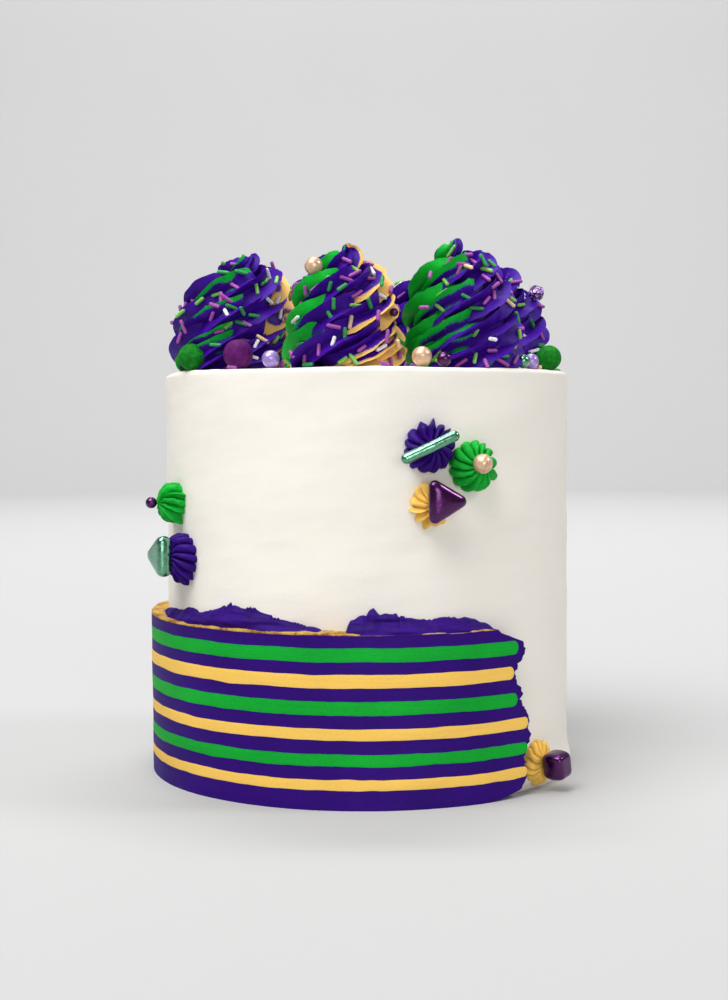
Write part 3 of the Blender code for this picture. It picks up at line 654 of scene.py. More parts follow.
def quads(rows, columns, wrap_columns=True):
    """Faces of a grid of points, wrapped round where its columns close on themselves."""
    row = np.arange(rows - 1)[:, None]
    column = np.arange(columns if wrap_columns else columns - 1)[None, :]
    next_row = row + 1
    next_column = (column + 1) % columns
    corners = [row * columns + column, row * columns + next_column, next_row * columns + next_column,
               next_row * columns + column]
    return np.stack([np.broadcast_to(corner, (row.shape[0], column.shape[1])) for corner in corners],
                    axis=-1).reshape(-1, 4).tolist()


def closed_rings(rings):
    """Faces for rings of points with both ends capped."""
    rows, columns = rings.shape[:2]
    faces = quads(rows, columns)
    faces.append(list(range(columns))[::-1])
    faces.append([(rows - 1) * columns + column for column in range(columns)])
    return faces


def slab(outer, inner):
    """Points and faces of a closed slab between two grids of the same rows and columns."""
    rows, columns = outer.shape[:2]
    count = rows * columns
    skin = quads(rows, columns, wrap_columns=False)
    faces = skin + [[corner + count for corner in face[::-1]] for face in skin]
    border = list(range(columns))
    border += [row * columns + columns - 1 for row in range(1, rows)]
    border += [(rows - 1) * columns + column for column in range(columns - 2, -1, -1)]
    border += [row * columns for row in range(rows - 2, 0, -1)]
    for first, second in zip(border, border[1:] + border[:1]):
        faces.append([second, first, first + count, second + count])
    return np.concatenate([outer.reshape(-1, 3), inner.reshape(-1, 3)]), faces


def sphere(subdivisions):
    """Points and faces of a ball of radius 1."""
    bm = bmesh.new()
    bmesh.ops.create_icosphere(bm, subdivisions=subdivisions, radius=1.0)
    points = np.array([vert.co for vert in bm.verts])
    faces = [[vert.index for vert in face.verts] for face in bm.faces]
    bm.free()
    return points, faces


def add_object(name, data):
    made = bpy.data.objects.new(name, data)
    bpy.context.scene.collection.objects.link(made)
    return made


def shade_mesh(mesh, sharp):
    """Smooth shading with edges sharp above an angle in degrees."""
    mesh.shade_smooth()
    mesh.set_sharp_from_angle(angle=math.radians(sharp))


def piece_from(name, points, faces, finish, sharp, attributes=None):
    """A named piece from points and faces, its normals outward, ready to ride."""
    mesh = bpy.data.meshes.new(name)
    mesh.from_pydata(points.reshape(-1, 3).tolist(), [], faces)
    for key, values in (attributes or {}).items():
        layer = mesh.color_attributes.new(key, "FLOAT_COLOR", "POINT")
        layer.data.foreach_set("color", values.astype(np.float32).ravel())
    bm = bmesh.new()
    bm.from_mesh(mesh)
    bmesh.ops.recalc_face_normals(bm, faces=bm.faces)
    bm.to_mesh(mesh)
    bm.free()
    mesh.materials.append(material(finish))
    shade_mesh(mesh, sharp)
    return add_object(name, mesh)


def stand_for(piece, node, slot):
    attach(piece, BODY)
    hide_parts(node)


# White body: where its turned outline has its points

TOP_RADII = (0.4, 12.0, 26.0, 40.0, 54.0, 64.0, 69.0)
BASE_RADII = (70.0, 40.0, 0.4)
SIDE_TOP = BODY_HEIGHT - RIM_ROUND - 1.5
SIDE_FOOT = FOOT_HEIGHT + 2.0
RIM_STEPS = 9
SIDE_STEPS = 86
FOOT_STEPS = 14
BODY_COLUMNS = 320


def make_body():
    """A turned outline from the middle of the top, down the side, to the middle of the base."""
    top = [(radius, BODY_HEIGHT) for radius in TOP_RADII]
    rim = []
    for turn in np.linspace(0.0, 0.5 * math.pi, RIM_STEPS):
        rim.append((BODY_RADIUS - RIM_ROUND * (1.0 - math.sin(turn)),
                    BODY_HEIGHT - RIM_ROUND * (1.0 - math.cos(turn))))
    side = [(BODY_RADIUS, height) for height in np.linspace(SIDE_TOP, SIDE_FOOT, SIDE_STEPS)]
    foot = []
    for height in np.linspace(FOOT_HEIGHT, 0.0, FOOT_STEPS):
        bulge = math.sin(0.75 * math.pi * (1.0 - height / FOOT_HEIGHT) ** 1.6) ** 2
        foot.append((BODY_RADIUS + FOOT_FLARE * bulge, height))
    base = [(radius, 0.0) for radius in BASE_RADII]
    outline = np.array(top + rim + side + foot + base)
    angle = np.linspace(0.0, 360.0, BODY_COLUMNS, endpoint=False)
    points = round_cake(angle[None, :], outline[:, :1], outline[:, 1:])
    outward = points.copy()
    outward[..., 2] = 0.0
    outward = unit(outward)
    hand = ripples(taller(points, 2.2), (0.16 * MM, 46 * MM, 3), (0.05 * MM, 13 * MM, 4))
    near_foot = clamp(1.0 - points[..., 2] / (FOOT_HEIGHT * MM))
    hand = hand + near_foot * 0.5 * MM * waves(points, 30 * MM, 5)
    side_share = clamp(outline[:, 0] / BODY_RADIUS)[:, None] ** 20
    points += outward * (hand * side_share)[..., None]
    top_share = clamp((outline[:, 1] - BODY_HEIGHT + RIM_ROUND) / RIM_ROUND)[:, None]
    points[..., 2] += top_share * ripples(points, (0.22 * MM, 40 * MM, 6), (0.08 * MM, 11 * MM, 7))
    body = piece_from("icing_white", points, closed_rings(points), "white_icing", 60.0)
    stand_for(body, "cake_body", "white_icing")


# Striped band

COAT_ROWS = 96
COAT_COLUMNS = 360
LINE_COLUMNS = 420
# How far the coat falls back at its torn end in mm, and over how many degrees
TORN_BACK = 0.5
TORN_SPAN = 0.7
# How far a stripe stands out of the coat, how much its edges are rounded off, and how deep it goes
STRIPE_PROUD = 0.07
STRIPE_ROUND = 0.05
STRIPE_DEPTH = 1.0


def crag_spot(height):
    """Where the crags of an upright edge are read, by its height."""
    return np.stack([height, height * 0.37 + 5.0], axis=-1)


def band_end(height):
    """Angle of the torn end at a height, with crags finer than the list's."""
    return between(TORN_END, height) + ripples(crag_spot(height), (0.35, 2.6, 21), (0.22, 1.1, 22))


def far_end(height):
    crags = ripples(crag_spot(height), (1.2, 11.0, 24), (0.6, 3.0, 23))
    return COAT_FAR_END + 1.0 * np.sin(0.55 * height) + crags


def band_angles(height, short, columns):
    """Angles from the far end to the torn end for each height, close together near both ends."""
    share = np.linspace(0.0, 1.0, columns)
    share = share - np.sin(2.0 * math.pi * share) / (2.0 * math.pi) * 0.9
    first = far_end(height)[:, None]
    last = (band_end(height) - short)[:, None]
    return first + (last - first) * share


def band_spot(angle, height):
    """Where the unevenness of something that runs round the band is read."""
    return np.stack([angle, np.full(len(angle), height)], axis=-1)


def coat_reach(points):
    """How far the scraped band stands out, nearly level."""
    return 0.08 * waves(taller(points, 3.0), 34 * MM, 31)


def push_out(points, distance):
    """Move points straight out from the cake's axis by a distance in mm."""
    away = points.copy()
    away[..., 2] = 0.0
    return points + unit(away) * (distance * MM)[..., None]


def make_coat():
    heights = np.linspace(0.0, COAT_TOP, COAT_ROWS)
    angles = band_angles(heights, 0.0, COAT_COLUMNS)
    outer = round_cake(angles, COAT_OUTER, heights[:, None])
    torn = clamp((angles - angles[:, -1:] + TORN_SPAN) / TORN_SPAN) ** 2
    outer = push_out(outer, coat_reach(outer) - TORN_BACK * torn)
    inner = round_cake(angles, BODY_RADIUS - COAT_BEDDING, heights[:, None])
    points, faces = slab(outer, inner)
    coat = piece_from("band_purple", points, faces, "purple_icing", 50.0)
    stand_for(coat, "coat_purple", "purple_icing")


def make_stripe(name):
    """A coloured stripe set in the band, proud of it by a hair, with wavy edges and a rounded end."""
    low, high, short = STRIPES[name]
    seed = int(10 * low)
    middle = 0.5 * (low + high)
    half_width = 0.5 * (high - low)
    angle = band_angles(np.array([middle]), short, LINE_COLUMNS)[0]
    spot = band_spot(angle, 10.0 * middle)
    wobble = ripples(spot, (0.09, 24.0, seed), (0.05, 5.0, seed + 1))
    to_end = clamp((angle[-1] - angle) / math.degrees(half_width / COAT_OUTER))
    rounded = np.sqrt(clamp(1.0 - (1.0 - to_end) ** 2.6))
    width = (half_width + 0.07 * waves(spot, 12.0, seed + 2)) * rounded + 0.02
    across = np.linspace(-1.0, 1.0, 9)[:, None]
    level = middle + wobble + across * width
    outer = round_cake(angle, COAT_OUTER, level)
    outer = push_out(outer, coat_reach(outer) + STRIPE_PROUD - STRIPE_ROUND * across ** 8)
    points, faces = slab(outer, round_cake(angle, COAT_OUTER - STRIPE_DEPTH, level))
    colour = "gold_icing" if "gold" in name else "green_icing"
    stripe = piece_from(name.replace("stripe", "line"), points, faces, colour, 60.0)
    stand_for(stripe, name, colour)


def make_rim():
    """The gold ledge on the band: a low, uneven edge that shows from outside and a rough top."""
    angle = band_angles(np.array([COAT_TOP]), 0.3, LINE_COLUMNS)[0]
    spot = band_spot(angle, 0.0)
    edge = between(RIM_EDGE, angle) + ripples(spot, (0.12, 9.0, 71), (0.06, 2.5, 72))
    low = COAT_TOP - 0.4
    bedded = BODY_RADIUS - STAR_BEDDING
    outer = COAT_OUTER + 0.02 + 0.05 * waves(spot, 6.0, 73)
    section = (
        (bedded, low),
        (outer - 0.4, low),
        (outer, COAT_TOP - 0.05),
        (outer, 0.4 * COAT_TOP + 0.6 * edge),
        (outer - 0.25, edge - 0.05),
        (outer - 0.9, edge + 0.03),
        (COAT_OUTER - 3.0, edge + 0.25 * waves(spot, 4.0, 74)),
        (bedded, edge + 0.2),
    )
    loop = np.swapaxes(np.array([round_cake(angle, radius, height) for radius, height in section]), 0, 1)
    rim = piece_from("ledge_gold", loop, closed_rings(loop), "torn_gold", 60.0)
    stand_for(rim, "rim_gold", "gold_icing")


def make_smear(name):
    """Icing left on the white above the band: thick at its foot, torn and thin at its upper edge."""
    edge = SMEARS[name]
    first, last = edge[0][0], edge[-1][0]
    seed = 80 + len(name)
    angle = np.linspace(first, last, int((last - first) * 9))
    spot = band_spot(angle, 3.0)
    nibbled = np.clip(0.5 + waves(spot, 9.0, seed + 6), 0.0, 1.5)
    nibbles = nibbled * ripples(spot, (0.22, 1.7, seed + 1), (0.12, 0.8, seed + 2))
    tear = 0.3 * waves(spot, 5.0, seed) + nibbles
    ends = clamp(np.minimum(angle - first, last - angle) / SMEAR_END) ** 0.5
    foot = COAT_TOP - 0.5
    top = foot + (between(edge, angle) + tear - foot) * ends
    share = np.linspace(0.0, 1.0, 34)[:, None]
    height = foot + (top - foot) * share
    skin = round_cake(angle[None, :], BODY_RADIUS, height)
    swell = (SMEAR_FOOT[name] - SMEAR_SKIN) * (1.0 - share ** 1.3) ** 1.3
    strokes = 0.32 * waves(taller(skin, 7.0), 26 * MM, seed + 3)
    fine = 0.16 * waves(taller(skin, 4.0), 8 * MM, seed + 4)
    lumps = 0.28 * waves(skin, 9 * MM, seed + 5)
    thickness = np.maximum(SMEAR_SKIN + swell + strokes + fine + lumps, SMEAR_THINNEST)
    thickness = thickness * np.sqrt(np.clip(1.0 - share ** 9, 0.06, 1.0)) * (0.2 + 0.8 * ends)
    inner = round_cake(angle[None, :], BODY_RADIUS - COAT_BEDDING, height)
    points, faces = slab(push_out(skin, thickness), inner)
    smear = piece_from(name.replace("smear", "drag"), points, faces, "torn_purple", 60.0)
    stand_for(smear, name, "purple_icing")


# Piped swirls

# The rope: the share of its thickness that it loses on its way up, the share left at its tip, the power
# that makes the tip blunt, and how high its first turn lies, as a share of its thickness
ROPE_THINNING = 0.1
TIP_LEFT = 0.03
TIP_BLUNTNESS = 0.48
ROPE_SEAT = 0.68
# How much deeper a groove gets where the rope swells, and how far apart two readings of its course are
SWELL_DEPTH = 1.6
COURSE_STEP = 0.001
# Waver of the colours along the rope, and how softly they meet, in degrees
COLOUR_WAVER = 7.0
COLOUR_BLEND = 24.0


def rope_path(swirl, share):
    """Middle, thickness and turn of the rope, for shares from 0 at its start to 1 at its tip, in mm."""
    _, radius, height, start, turns, lean, lean_direction, taper = swirl
    first = radius * bpy.context.scene.cake_swirls.rope_share
    tip = TIP_LEFT + (1.0 - TIP_LEFT) * (1.0 - share_past(share, TIP_FROM)) ** TIP_BLUNTNESS
    thickness = first * (1.0 - ROPE_THINNING * share) * tip
    climb = share_past(share, CLIMB_FROM)
    spread = (radius - first) * (1.0 - climb ** taper)
    seat = ROPE_SEAT * first
    turn = math.radians(start) + 2.0 * math.pi * turns * share
    leaning = lean * share ** 2.5
    direction = math.radians(lean_direction)
    middle = np.stack([
        spread * np.cos(turn) + leaning * math.cos(direction),
        spread * np.sin(turn) + leaning * math.sin(direction),
        seat + (height - PEAK - seat) * climb + PEAK * share_past(share, PEAK_FROM) ** 1.6,
    ], axis=-1)
    return middle, thickness, turn


def swirl_place(swirl):
    return round_cake(swirl[0], SWIRL_RING, BODY_HEIGHT)


def zone(world, middle, half):
    """Share of a colour at an angle on the nozzle, 1 inside its zone and 0 outside."""
    away = np.abs((world - middle + 180.0) % 360.0 - 180.0)
    return clamp(0.5 - (away - half) / COLOUR_BLEND)


def swirl_skin(name):
    """The ridged rope's points and the share of each icing on them."""
    sizes = bpy.context.scene.cake_swirls
    swirl = SWIRLS[name]
    seed = 100 + 10 * int(name[-1])
    share = np.linspace(0.0, 1.0, sizes.steps + 1)
    middle, thickness, turn = rope_path(swirl, share)
    ahead = rope_path(swirl, np.minimum(share + COURSE_STEP, 1.0))[0]
    behind = rope_path(swirl, np.maximum(share - COURSE_STEP, 0.0))[0]
    along = unit(ahead - behind)
    outwards = np.stack([np.cos(turn), np.sin(turn), np.zeros_like(turn)], axis=-1)
    upwards = unit(np.cross(outwards, along))
    sideways = unit(np.cross(along, upwards))
    sides = SWIRL_TEETH * sizes.points_per_tooth
    nozzle = 2.0 * math.pi * np.arange(sides) / sides
    grooved = np.abs(np.sin(0.5 * SWIRL_TEETH * nozzle)) ** sizes.groove_shape
    blunt = np.minimum(1.0, 0.3 + share / 0.03)
    spot = np.stack(np.broadcast_arrays(3.0 * np.cos(nozzle)[None, :], 3.0 * np.sin(nozzle)[None, :],
                                        turn[:, None]), axis=-1)
    hand = ripples(spot, (sizes.unevenness, 2.4, seed), (0.4 * sizes.unevenness, 0.8, seed + 1))
    depth = sizes.groove * (1.0 + SWELL_DEPTH * hand)
    reach = (thickness * blunt)[:, None] * (1.0 + hand) * (1.0 - depth * grooved[None, :])
    around = nozzle[None, :] + SWIRL_TWIST * turn[:, None]
    points = middle[:, None, :] + reach[..., None] * (
        np.cos(around)[..., None] * sideways[:, None, :] + np.sin(around)[..., None] * upwards[:, None, :])
    points = points * MM
    points += jitter(points, 0.22 * MM, 9 * MM, seed + 2)
    crest = (1.0 - grooved[None, :]) ** 4
    points[..., 2] += crest * 0.12 * MM * waves(points, 1.7 * MM, seed + 6)
    points[..., 2] = np.maximum(points[..., 2], -0.3 * MM)
    facing = (around + math.pi) % (2.0 * math.pi) - math.pi
    world = np.degrees(turn[:, None] - facing / SWIRL_TWIST)
    world = world + COLOUR_WAVER * waves(points, 12 * MM, seed + 7)
    green_middle, green_half, gold_middle, gold_half = SWIRL_COLOURS[name]
    face = sizes.face_colour * np.sin(SWIRL_TEETH * nozzle)[None, :]
    green = zone(world, green_middle, green_half + face)
    gold = zone(world, gold_middle, gold_half - 1.2 * face)
    # The last two shares place the painted highlight on the crests and the painted shade in the grooves
    shares = np.stack(np.broadcast_arrays(green, gold, crest, grooved[None, :] ** 3), axis=-1)
    return points + swirl_place(swirl), shares


def make_swirl(name):
    points, shares = swirl_skin(name)
    swirl = piece_from("piped_" + name, points, closed_rings(points), "swirl_icing", 50.0,
                       {"icing_shares": shares})
    stand_for(swirl, name, "swirl_icing")


# Piped stars on the side

def side_frame(angle, height, radius, tilt=0.0):
    """A frame on the cake's side: X to the right, Y up, Z outwards, turned by tilt; sizes in mm."""
    turn = math.radians(angle)
    outwards = Vector((math.sin(turn), -math.cos(turn), 0.0))
    frame_matrix = Matrix.Identity(4)
    frame_matrix.col[0].xyz = Vector((math.cos(turn), math.sin(turn), 0.0))
    frame_matrix.col[1].xyz = Vector((0.0, 0.0, 1.0))
    frame_matrix.col[2].xyz = outwards
    frame_matrix.translation = outwards * radius * MM + Vector((0.0, 0.0, height * MM))
    return frame_matrix @ Matrix.Rotation(math.radians(tilt), 4, "Z")


def placed(points, matrix):
    """Points in metres moved by a 4 by 4 matrix."""
    matrix = np.array(matrix)
    return points @ matrix[:3, :3].T + matrix[:3, 3]


def make_star(name):
    """A dome of ridges that spread from its middle, some pointed and some round, each a little different."""
    angle, height, diameter, stand = STARS[name]
    flare = 0.6 * FOOT_FLARE if height < FOOT_HEIGHT else 0.0
    base = BODY_RADIUS - STAR_BEDDING + flare
    rise = stand + BODY_RADIUS - base
    columns = STAR_TEETH * STAR_TOOTH_COLUMNS
    seed = 300 + list(STARS).index(name)
    draw = np.random.RandomState(seed)
    around = 2.0 * math.pi * np.arange(columns) / columns
    place = around / (2.0 * math.pi) * STAR_TEETH
    tooth = np.round(place).astype(int) % STAR_TEETH
    pointed = (draw.random_sample(STAR_TEETH) < STAR_POINTED)[tooth]
    longer = (STAR_LONGER * draw.random_sample(STAR_TEETH))[tooth] * pointed
    wider = STAR_WIDER * np.interp(around, np.linspace(0.0, 2.0 * math.pi, STAR_TEETH + 1),
                                   np.append(draw.normal(size=STAR_TEETH), 0.0))
    share = np.linspace(0.0, 1.0, STAR_ROWS)[:, None] ** 0.85
    away = 2.0 * np.abs(place - np.round(place))
    domed = 1.0 - np.sqrt(1.0 - away ** 2)
    hollow = np.where(pointed, away ** 1.1, domed)[None, :]
    crest = clamp(1.0 - away)[None, :] ** 3
    out = np.sin(0.5 * math.pi * share) ** 0.9
    tucked = 1.0 - STAR_TUCK * share_past(share, 0.85)
    lost = np.where(pointed, *HOLLOW_LOST)[None, :]
    depth = STAR_HOLLOW * clamp(share * 2.4) * (1.0 - lost * share_past(share, 0.5))
    reach = 0.5 * diameter * out * tucked * (1.0 - depth * hollow + longer[None, :] * share ** 2 * crest)
    level = rise * np.cos(0.5 * math.pi * share) ** 0.7
    level = level * (1.0 - 0.24 * hollow * clamp(share * 3.0))
    uneven = wider + 0.04 * np.sin(3.0 * around)
    turned = (around + uneven)[None, :] + STAR_TWIST * (1.0 - share)
    flat = (reach * np.cos(turned), reach * np.sin(turned))
    points = np.stack(np.broadcast_arrays(*flat, level), axis=-1) * MM
    points += jitter(points, 0.14 * MM, 4 * MM, seed)
    points = placed(points, side_frame(angle, height, base))
    colour = name.split("_")[1]
    star = piece_from("piped_" + name, points, closed_rings(points), "piped_" + colour, 35.0)
    stand_for(star, name, colour + "_icing")


# Balls, pearls and sweets

def make_ball(name):
    """A ball where its solid is, slightly out of round as moulded sugar is."""
    low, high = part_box(name)
    middle = 0.5 * (low + high)
    radius = 0.5 * (high.z - low.z)
    points, faces = sphere(5)
    points *= 1.0 + 0.012 * waves(points, 1.6, sum(ord(letter) for letter in name))[:, None]
    finish = next(value for key, value in BALL_FINISHES.items() if name.startswith(key))
    ball = piece_from(name + "_round", points * radius + np.array(middle), faces, finish, 180.0)
    stand_for(ball, name, finish)


def make_crystal():
    """A lump of coarse sugar: a rough ball with many flat faces."""
    low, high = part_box("crystal_violet")
    middle = 0.5 * (low + high)
    radius = CRYSTAL_SHARE * (high.z - low.z)
    points, faces = sphere(4)
    draw = np.random.RandomState(17)
    cuts = unit(draw.normal(size=(CRYSTAL_CUTS, 3)))
    reach = 0.86 + 0.16 * draw.random_sample(CRYSTAL_CUTS)
    facing = points @ cuts.T
    points *= np.where(facing > 0.2, reach / np.maximum(facing, 0.2), 2.0).min(axis=1)[:, None]
    crystal = piece_from("sugar_crystal", points * radius + np.array(middle), faces, "glitter_sugar", 12.0)
    stand_for(crystal, "crystal_violet", "violet_metallic")


def rod_rings():
    """A rod with round ends along X."""
    rows = []
    for turn in np.linspace(0.02, 0.5 * math.pi, 12):
        rows.append((-0.5 * ROD_LENGTH + ROD_RADIUS * (1.0 - math.cos(turn)), ROD_RADIUS * math.sin(turn)))
    rows += [(-place, radius) for place, radius in reversed(rows)]
    around = np.linspace(0.0, 2.0 * math.pi, 40, endpoint=False)
    return np.array([[(place, radius * math.cos(turn), radius * math.sin(turn)) for turn in around]
                     for place, radius in rows])


def corner_outline(corners, rounding):
    """A flat outline with every corner rounded by an arc."""
    points_per_corner = 9
    corners = [np.array(corner) for corner in corners]
    outline = []
    for index, corner in enumerate(corners):
        before = unit(corners[index - 1] - corner)
        after = unit(corners[(index + 1) % len(corners)] - corner)
        half = 0.5 * math.acos(float(before @ after))
        centre = corner + unit(before + after) * rounding / math.sin(half)
        start = corner + before * rounding / math.tan(half) - centre
        for turn in np.linspace(0.0, math.pi - 2.0 * half, points_per_corner):
            outline.append(centre + np.array([start[0] * math.cos(turn) - start[1] * math.sin(turn),
                                              start[0] * math.sin(turn) + start[1] * math.cos(turn)]))
    return np.array(outline)


def pillow_rings(corners, rounding, thickness, fullness):
    """Rings of a cushion-shaped sweet; a higher fullness makes its faces flatter and its edges tighter."""
    outline = corner_outline(corners, rounding)
    middle = outline.mean(axis=0)
    turns = np.linspace(0.02, 1.0, 18) * 0.5 * math.pi
    front = [(math.sin(turn), 0.5 * thickness * math.sqrt(1.0 - math.sin(turn) ** fullness))
             for turn in turns]
    rows = front + [(flat, -level) for flat, level in reversed(front[:-1])]
    return np.array([np.column_stack([middle + (outline - middle) * flat, np.full(len(outline), level)])
                     for flat, level in rows])


def sweet_rings(name, shape):
    if shape == "rod":
        return rod_rings()
    if shape == "triangle":
        corner = TRIANGLE_SIDE / math.sqrt(3.0)
        turns = [math.radians(turn) for turn in (0.0, 120.0, 240.0)]
        corners = [(corner * math.cos(turn), corner * math.sin(turn)) for turn in turns]
        return pillow_rings(corners, TRIANGLE_CORNER, TRIANGLE_THICKNESS, TRIANGLE_FULLNESS[name])
    half, tall = 0.5 * CUBE_SIZE, 0.5 * CUBE_HEIGHT
    corners = [(half, tall), (-half, tall), (-half, -tall), (half, -tall)]
    return pillow_rings(corners, CUBE_CORNER, CUBE_SIZE, CUBE_FULLNESS)


def make_sweet(name):
    shape, finish, angle, height, distance, tilt = SWEETS[name]
    points = placed(sweet_rings(name, shape) * MM, side_frame(angle, height, distance, tilt))
    sweet = piece_from(name.replace("sweet", "candy"), points, closed_rings(points), finish, 60.0)
    stand_for(sweet, name, finish)


# Sprinkles, thrown at the icing by Geometry Nodes from a cage of domes, a lid and a hoop

DOME_GAP = 6.0
DOME_COLUMNS = 40
DOME_ROWS = 14
LID_HEIGHT = 56.0
LID_RADII = np.linspace(30.0, 73.0, 14)
HOOP_RADIUS = 81.0
HOOP_HEIGHTS = (0.8, 4.8)
CAGE_COLUMNS = 96
THROW_LENGTH = 0.07
# How far a sprinkle keeps from the balls, as a share of its length, and how long it is, at random
CLEAR_SHARE = 0.6
LENGTH_SHARES = (0.72, 1.12)
TILT = 0.35


def clear_of(point, swirls, gap):
    """Whether a point in mm is at least a gap outside every one of the swirls, seen from above."""
    return all(np.linalg.norm(point[:2] - swirl_place(swirl)[:2] / MM) >= swirl[1] + gap for swirl in swirls)


def cage_faces():
    """Domes round the swirls, from which sprinkles are thrown inwards."""
    points = []
    faces = []
    for name, swirl in SWIRLS.items():
        centre = swirl_place(swirl) / MM
        reach = swirl[1] + DOME_GAP
        levels = np.linspace(0.8, swirl[2] + 4.0, DOME_ROWS)
        around = 2.0 * math.pi * np.arange(DOME_COLUMNS) / DOME_COLUMNS
        for level in levels:
            narrow = reach * math.sqrt(max(0.02, 1.0 - (level / (swirl[2] + 4.5)) ** 3.2))
            for turn in around:
                points.append(centre + np.array([narrow * math.cos(turn), narrow * math.sin(turn), level]))
        first = len(points) - DOME_COLUMNS * DOME_ROWS
        others = [other for key, other in SWIRLS.items() if key != name]
        for face in quads(DOME_ROWS, DOME_COLUMNS):
            corners = [first + corner for corner in face]
            if clear_of(np.mean([points[corner] for corner in corners], axis=0), others, 2.0):
                faces.append(corners)
    return np.array(points) * MM, faces


def cage_object():
    """The domes with a lid above the open top and a hoop round the swirls' feet."""
    points, faces = cage_faces()
    mesh = bpy.data.meshes.new("cage")
    around = np.linspace(0.0, 360.0, CAGE_COLUMNS, endpoint=False)
    lid = np.stack([round_cake(around, radius, BODY_HEIGHT + LID_HEIGHT) for radius in LID_RADII])
    first = len(points)
    for face in quads(*lid.shape[:2]):
        if clear_of(lid.reshape(-1, 3)[face].mean(axis=0) / MM, SWIRLS.values(), 1.0):
            faces.append([first + corner for corner in face[::-1]])
    hoop = np.stack([round_cake(around, HOOP_RADIUS, BODY_HEIGHT + level) for level in HOOP_HEIGHTS])
    first += lid.shape[0] * lid.shape[1]
    faces += [[first + corner for corner in face] for face in quads(*hoop.shape[:2])]
    points = np.concatenate([points, lid.reshape(-1, 3), hoop.reshape(-1, 3)])
    mesh.from_pydata(points.tolist(), [], faces)
    return add_object("cage", mesh)


def joined(name, pieces):
    """One plain mesh object with the shapes of several."""
    bm = bmesh.new()
    for piece in pieces:
        bm.from_mesh(piece.data)
    mesh = bpy.data.meshes.new(name)
    bm.to_mesh(mesh)
    bm.free()
    return add_object(name, mesh)


class TreeMaker:
    """Adds nodes to a Geometry Nodes tree: a type, its settings, then values or links."""

    def __init__(self, name, sockets):
        self.tree = bpy.data.node_groups.new(name, "GeometryNodeTree")
        for direction in ("INPUT", "OUTPUT"):
            self.tree.interface.new_socket("Geometry", in_out=direction, socket_type="NodeSocketGeometry")
        self.identifiers = {}
        for key, kind in sockets.items():
            made = self.tree.interface.new_socket(key, in_out="INPUT", socket_type="NodeSocket" + kind)
            self.identifiers[key] = made.identifier
        self.inputs = self.tree.nodes.new("NodeGroupInput").outputs

    def node(self, kind, settings=None, inputs=None):
        made = self.tree.nodes.new(kind)
        for key, value in (settings or {}).items():
            setattr(made, key, value)
        for key, value in (inputs or {}).items():
            if isinstance(value, bpy.types.NodeSocket):
                self.tree.links.new(value, made.inputs[key])
            else:
                made.inputs[key].default_value = value
        return made

    def first(self, kind, settings=None, inputs=None):
        """The first output of a new node."""
        return self.node(kind, settings, inputs).outputs[0]

    def math(self, operation, first, second=0.0):
        return self.first("ShaderNodeMath", {"operation": operation}, {0: first, 1: second})

    def vector(self, operation, inputs):
        return self.first("ShaderNodeVectorMath", {"operation": operation}, inputs)

    def compare(self, operation, first, second):
        return self.first("FunctionNodeCompare", {"data_type": "FLOAT", "operation": operation},
                          {0: first, 1: second})

    def either(self, first, second):
        return self.first("FunctionNodeBooleanMath", {"operation": "OR"}, {0: first, 1: second})

    def combine(self, across, along=0.0, up=0.0):
        return self.first("ShaderNodeCombineXYZ", None, {"X": across, "Y": along, "Z": up})

    def random(self, low, high, seed_offset):
        """A random number for each point."""
        seed = self.math("ADD", self.inputs["Seed"], seed_offset)
        made = self.node("FunctionNodeRandomValue", {"data_type": "FLOAT"}, {2: low, 3: high, "Seed": seed})
        return made.outputs[1]


def sprinkle_rod(make, given):
    """A short curve of the sprinkle's length with a round section that narrows at both ends."""
    ends = {name: make.combine(make.math("MULTIPLY", given["Length"], share))
            for name, share in (("Start", -0.5), ("End", 0.5))}
    line = make.first("GeometryNodeCurvePrimitiveLine", None, ends)
    fine = make.first("GeometryNodeResampleCurve", None, {"Curve": line, "Count": 11})
    factor = make.node("GeometryNodeSplineParameter").outputs["Factor"]
    from_middle = make.math("ABSOLUTE", make.math("SUBTRACT", factor, 0.5))
    rounded = make.first("ShaderNodeMapRange", {"interpolation_type": "SMOOTHSTEP"}, {
        "Value": from_middle, "From Min": 0.43, "From Max": 0.53, "To Min": 1.0, "To Max": 0.6})
    shaped = make.first("GeometryNodeSetCurveRadius", None, {"Curve": fine, "Radius": rounded})
    circle = make.first("GeometryNodeCurvePrimitiveCircle", None,
                        {"Resolution": 9, "Radius": given["Radius"]})
    return make.first("GeometryNodeCurveToMesh", None, {
        "Curve": shaped, "Profile Curve": circle, "Scale": rounded, "Fill Caps": True})


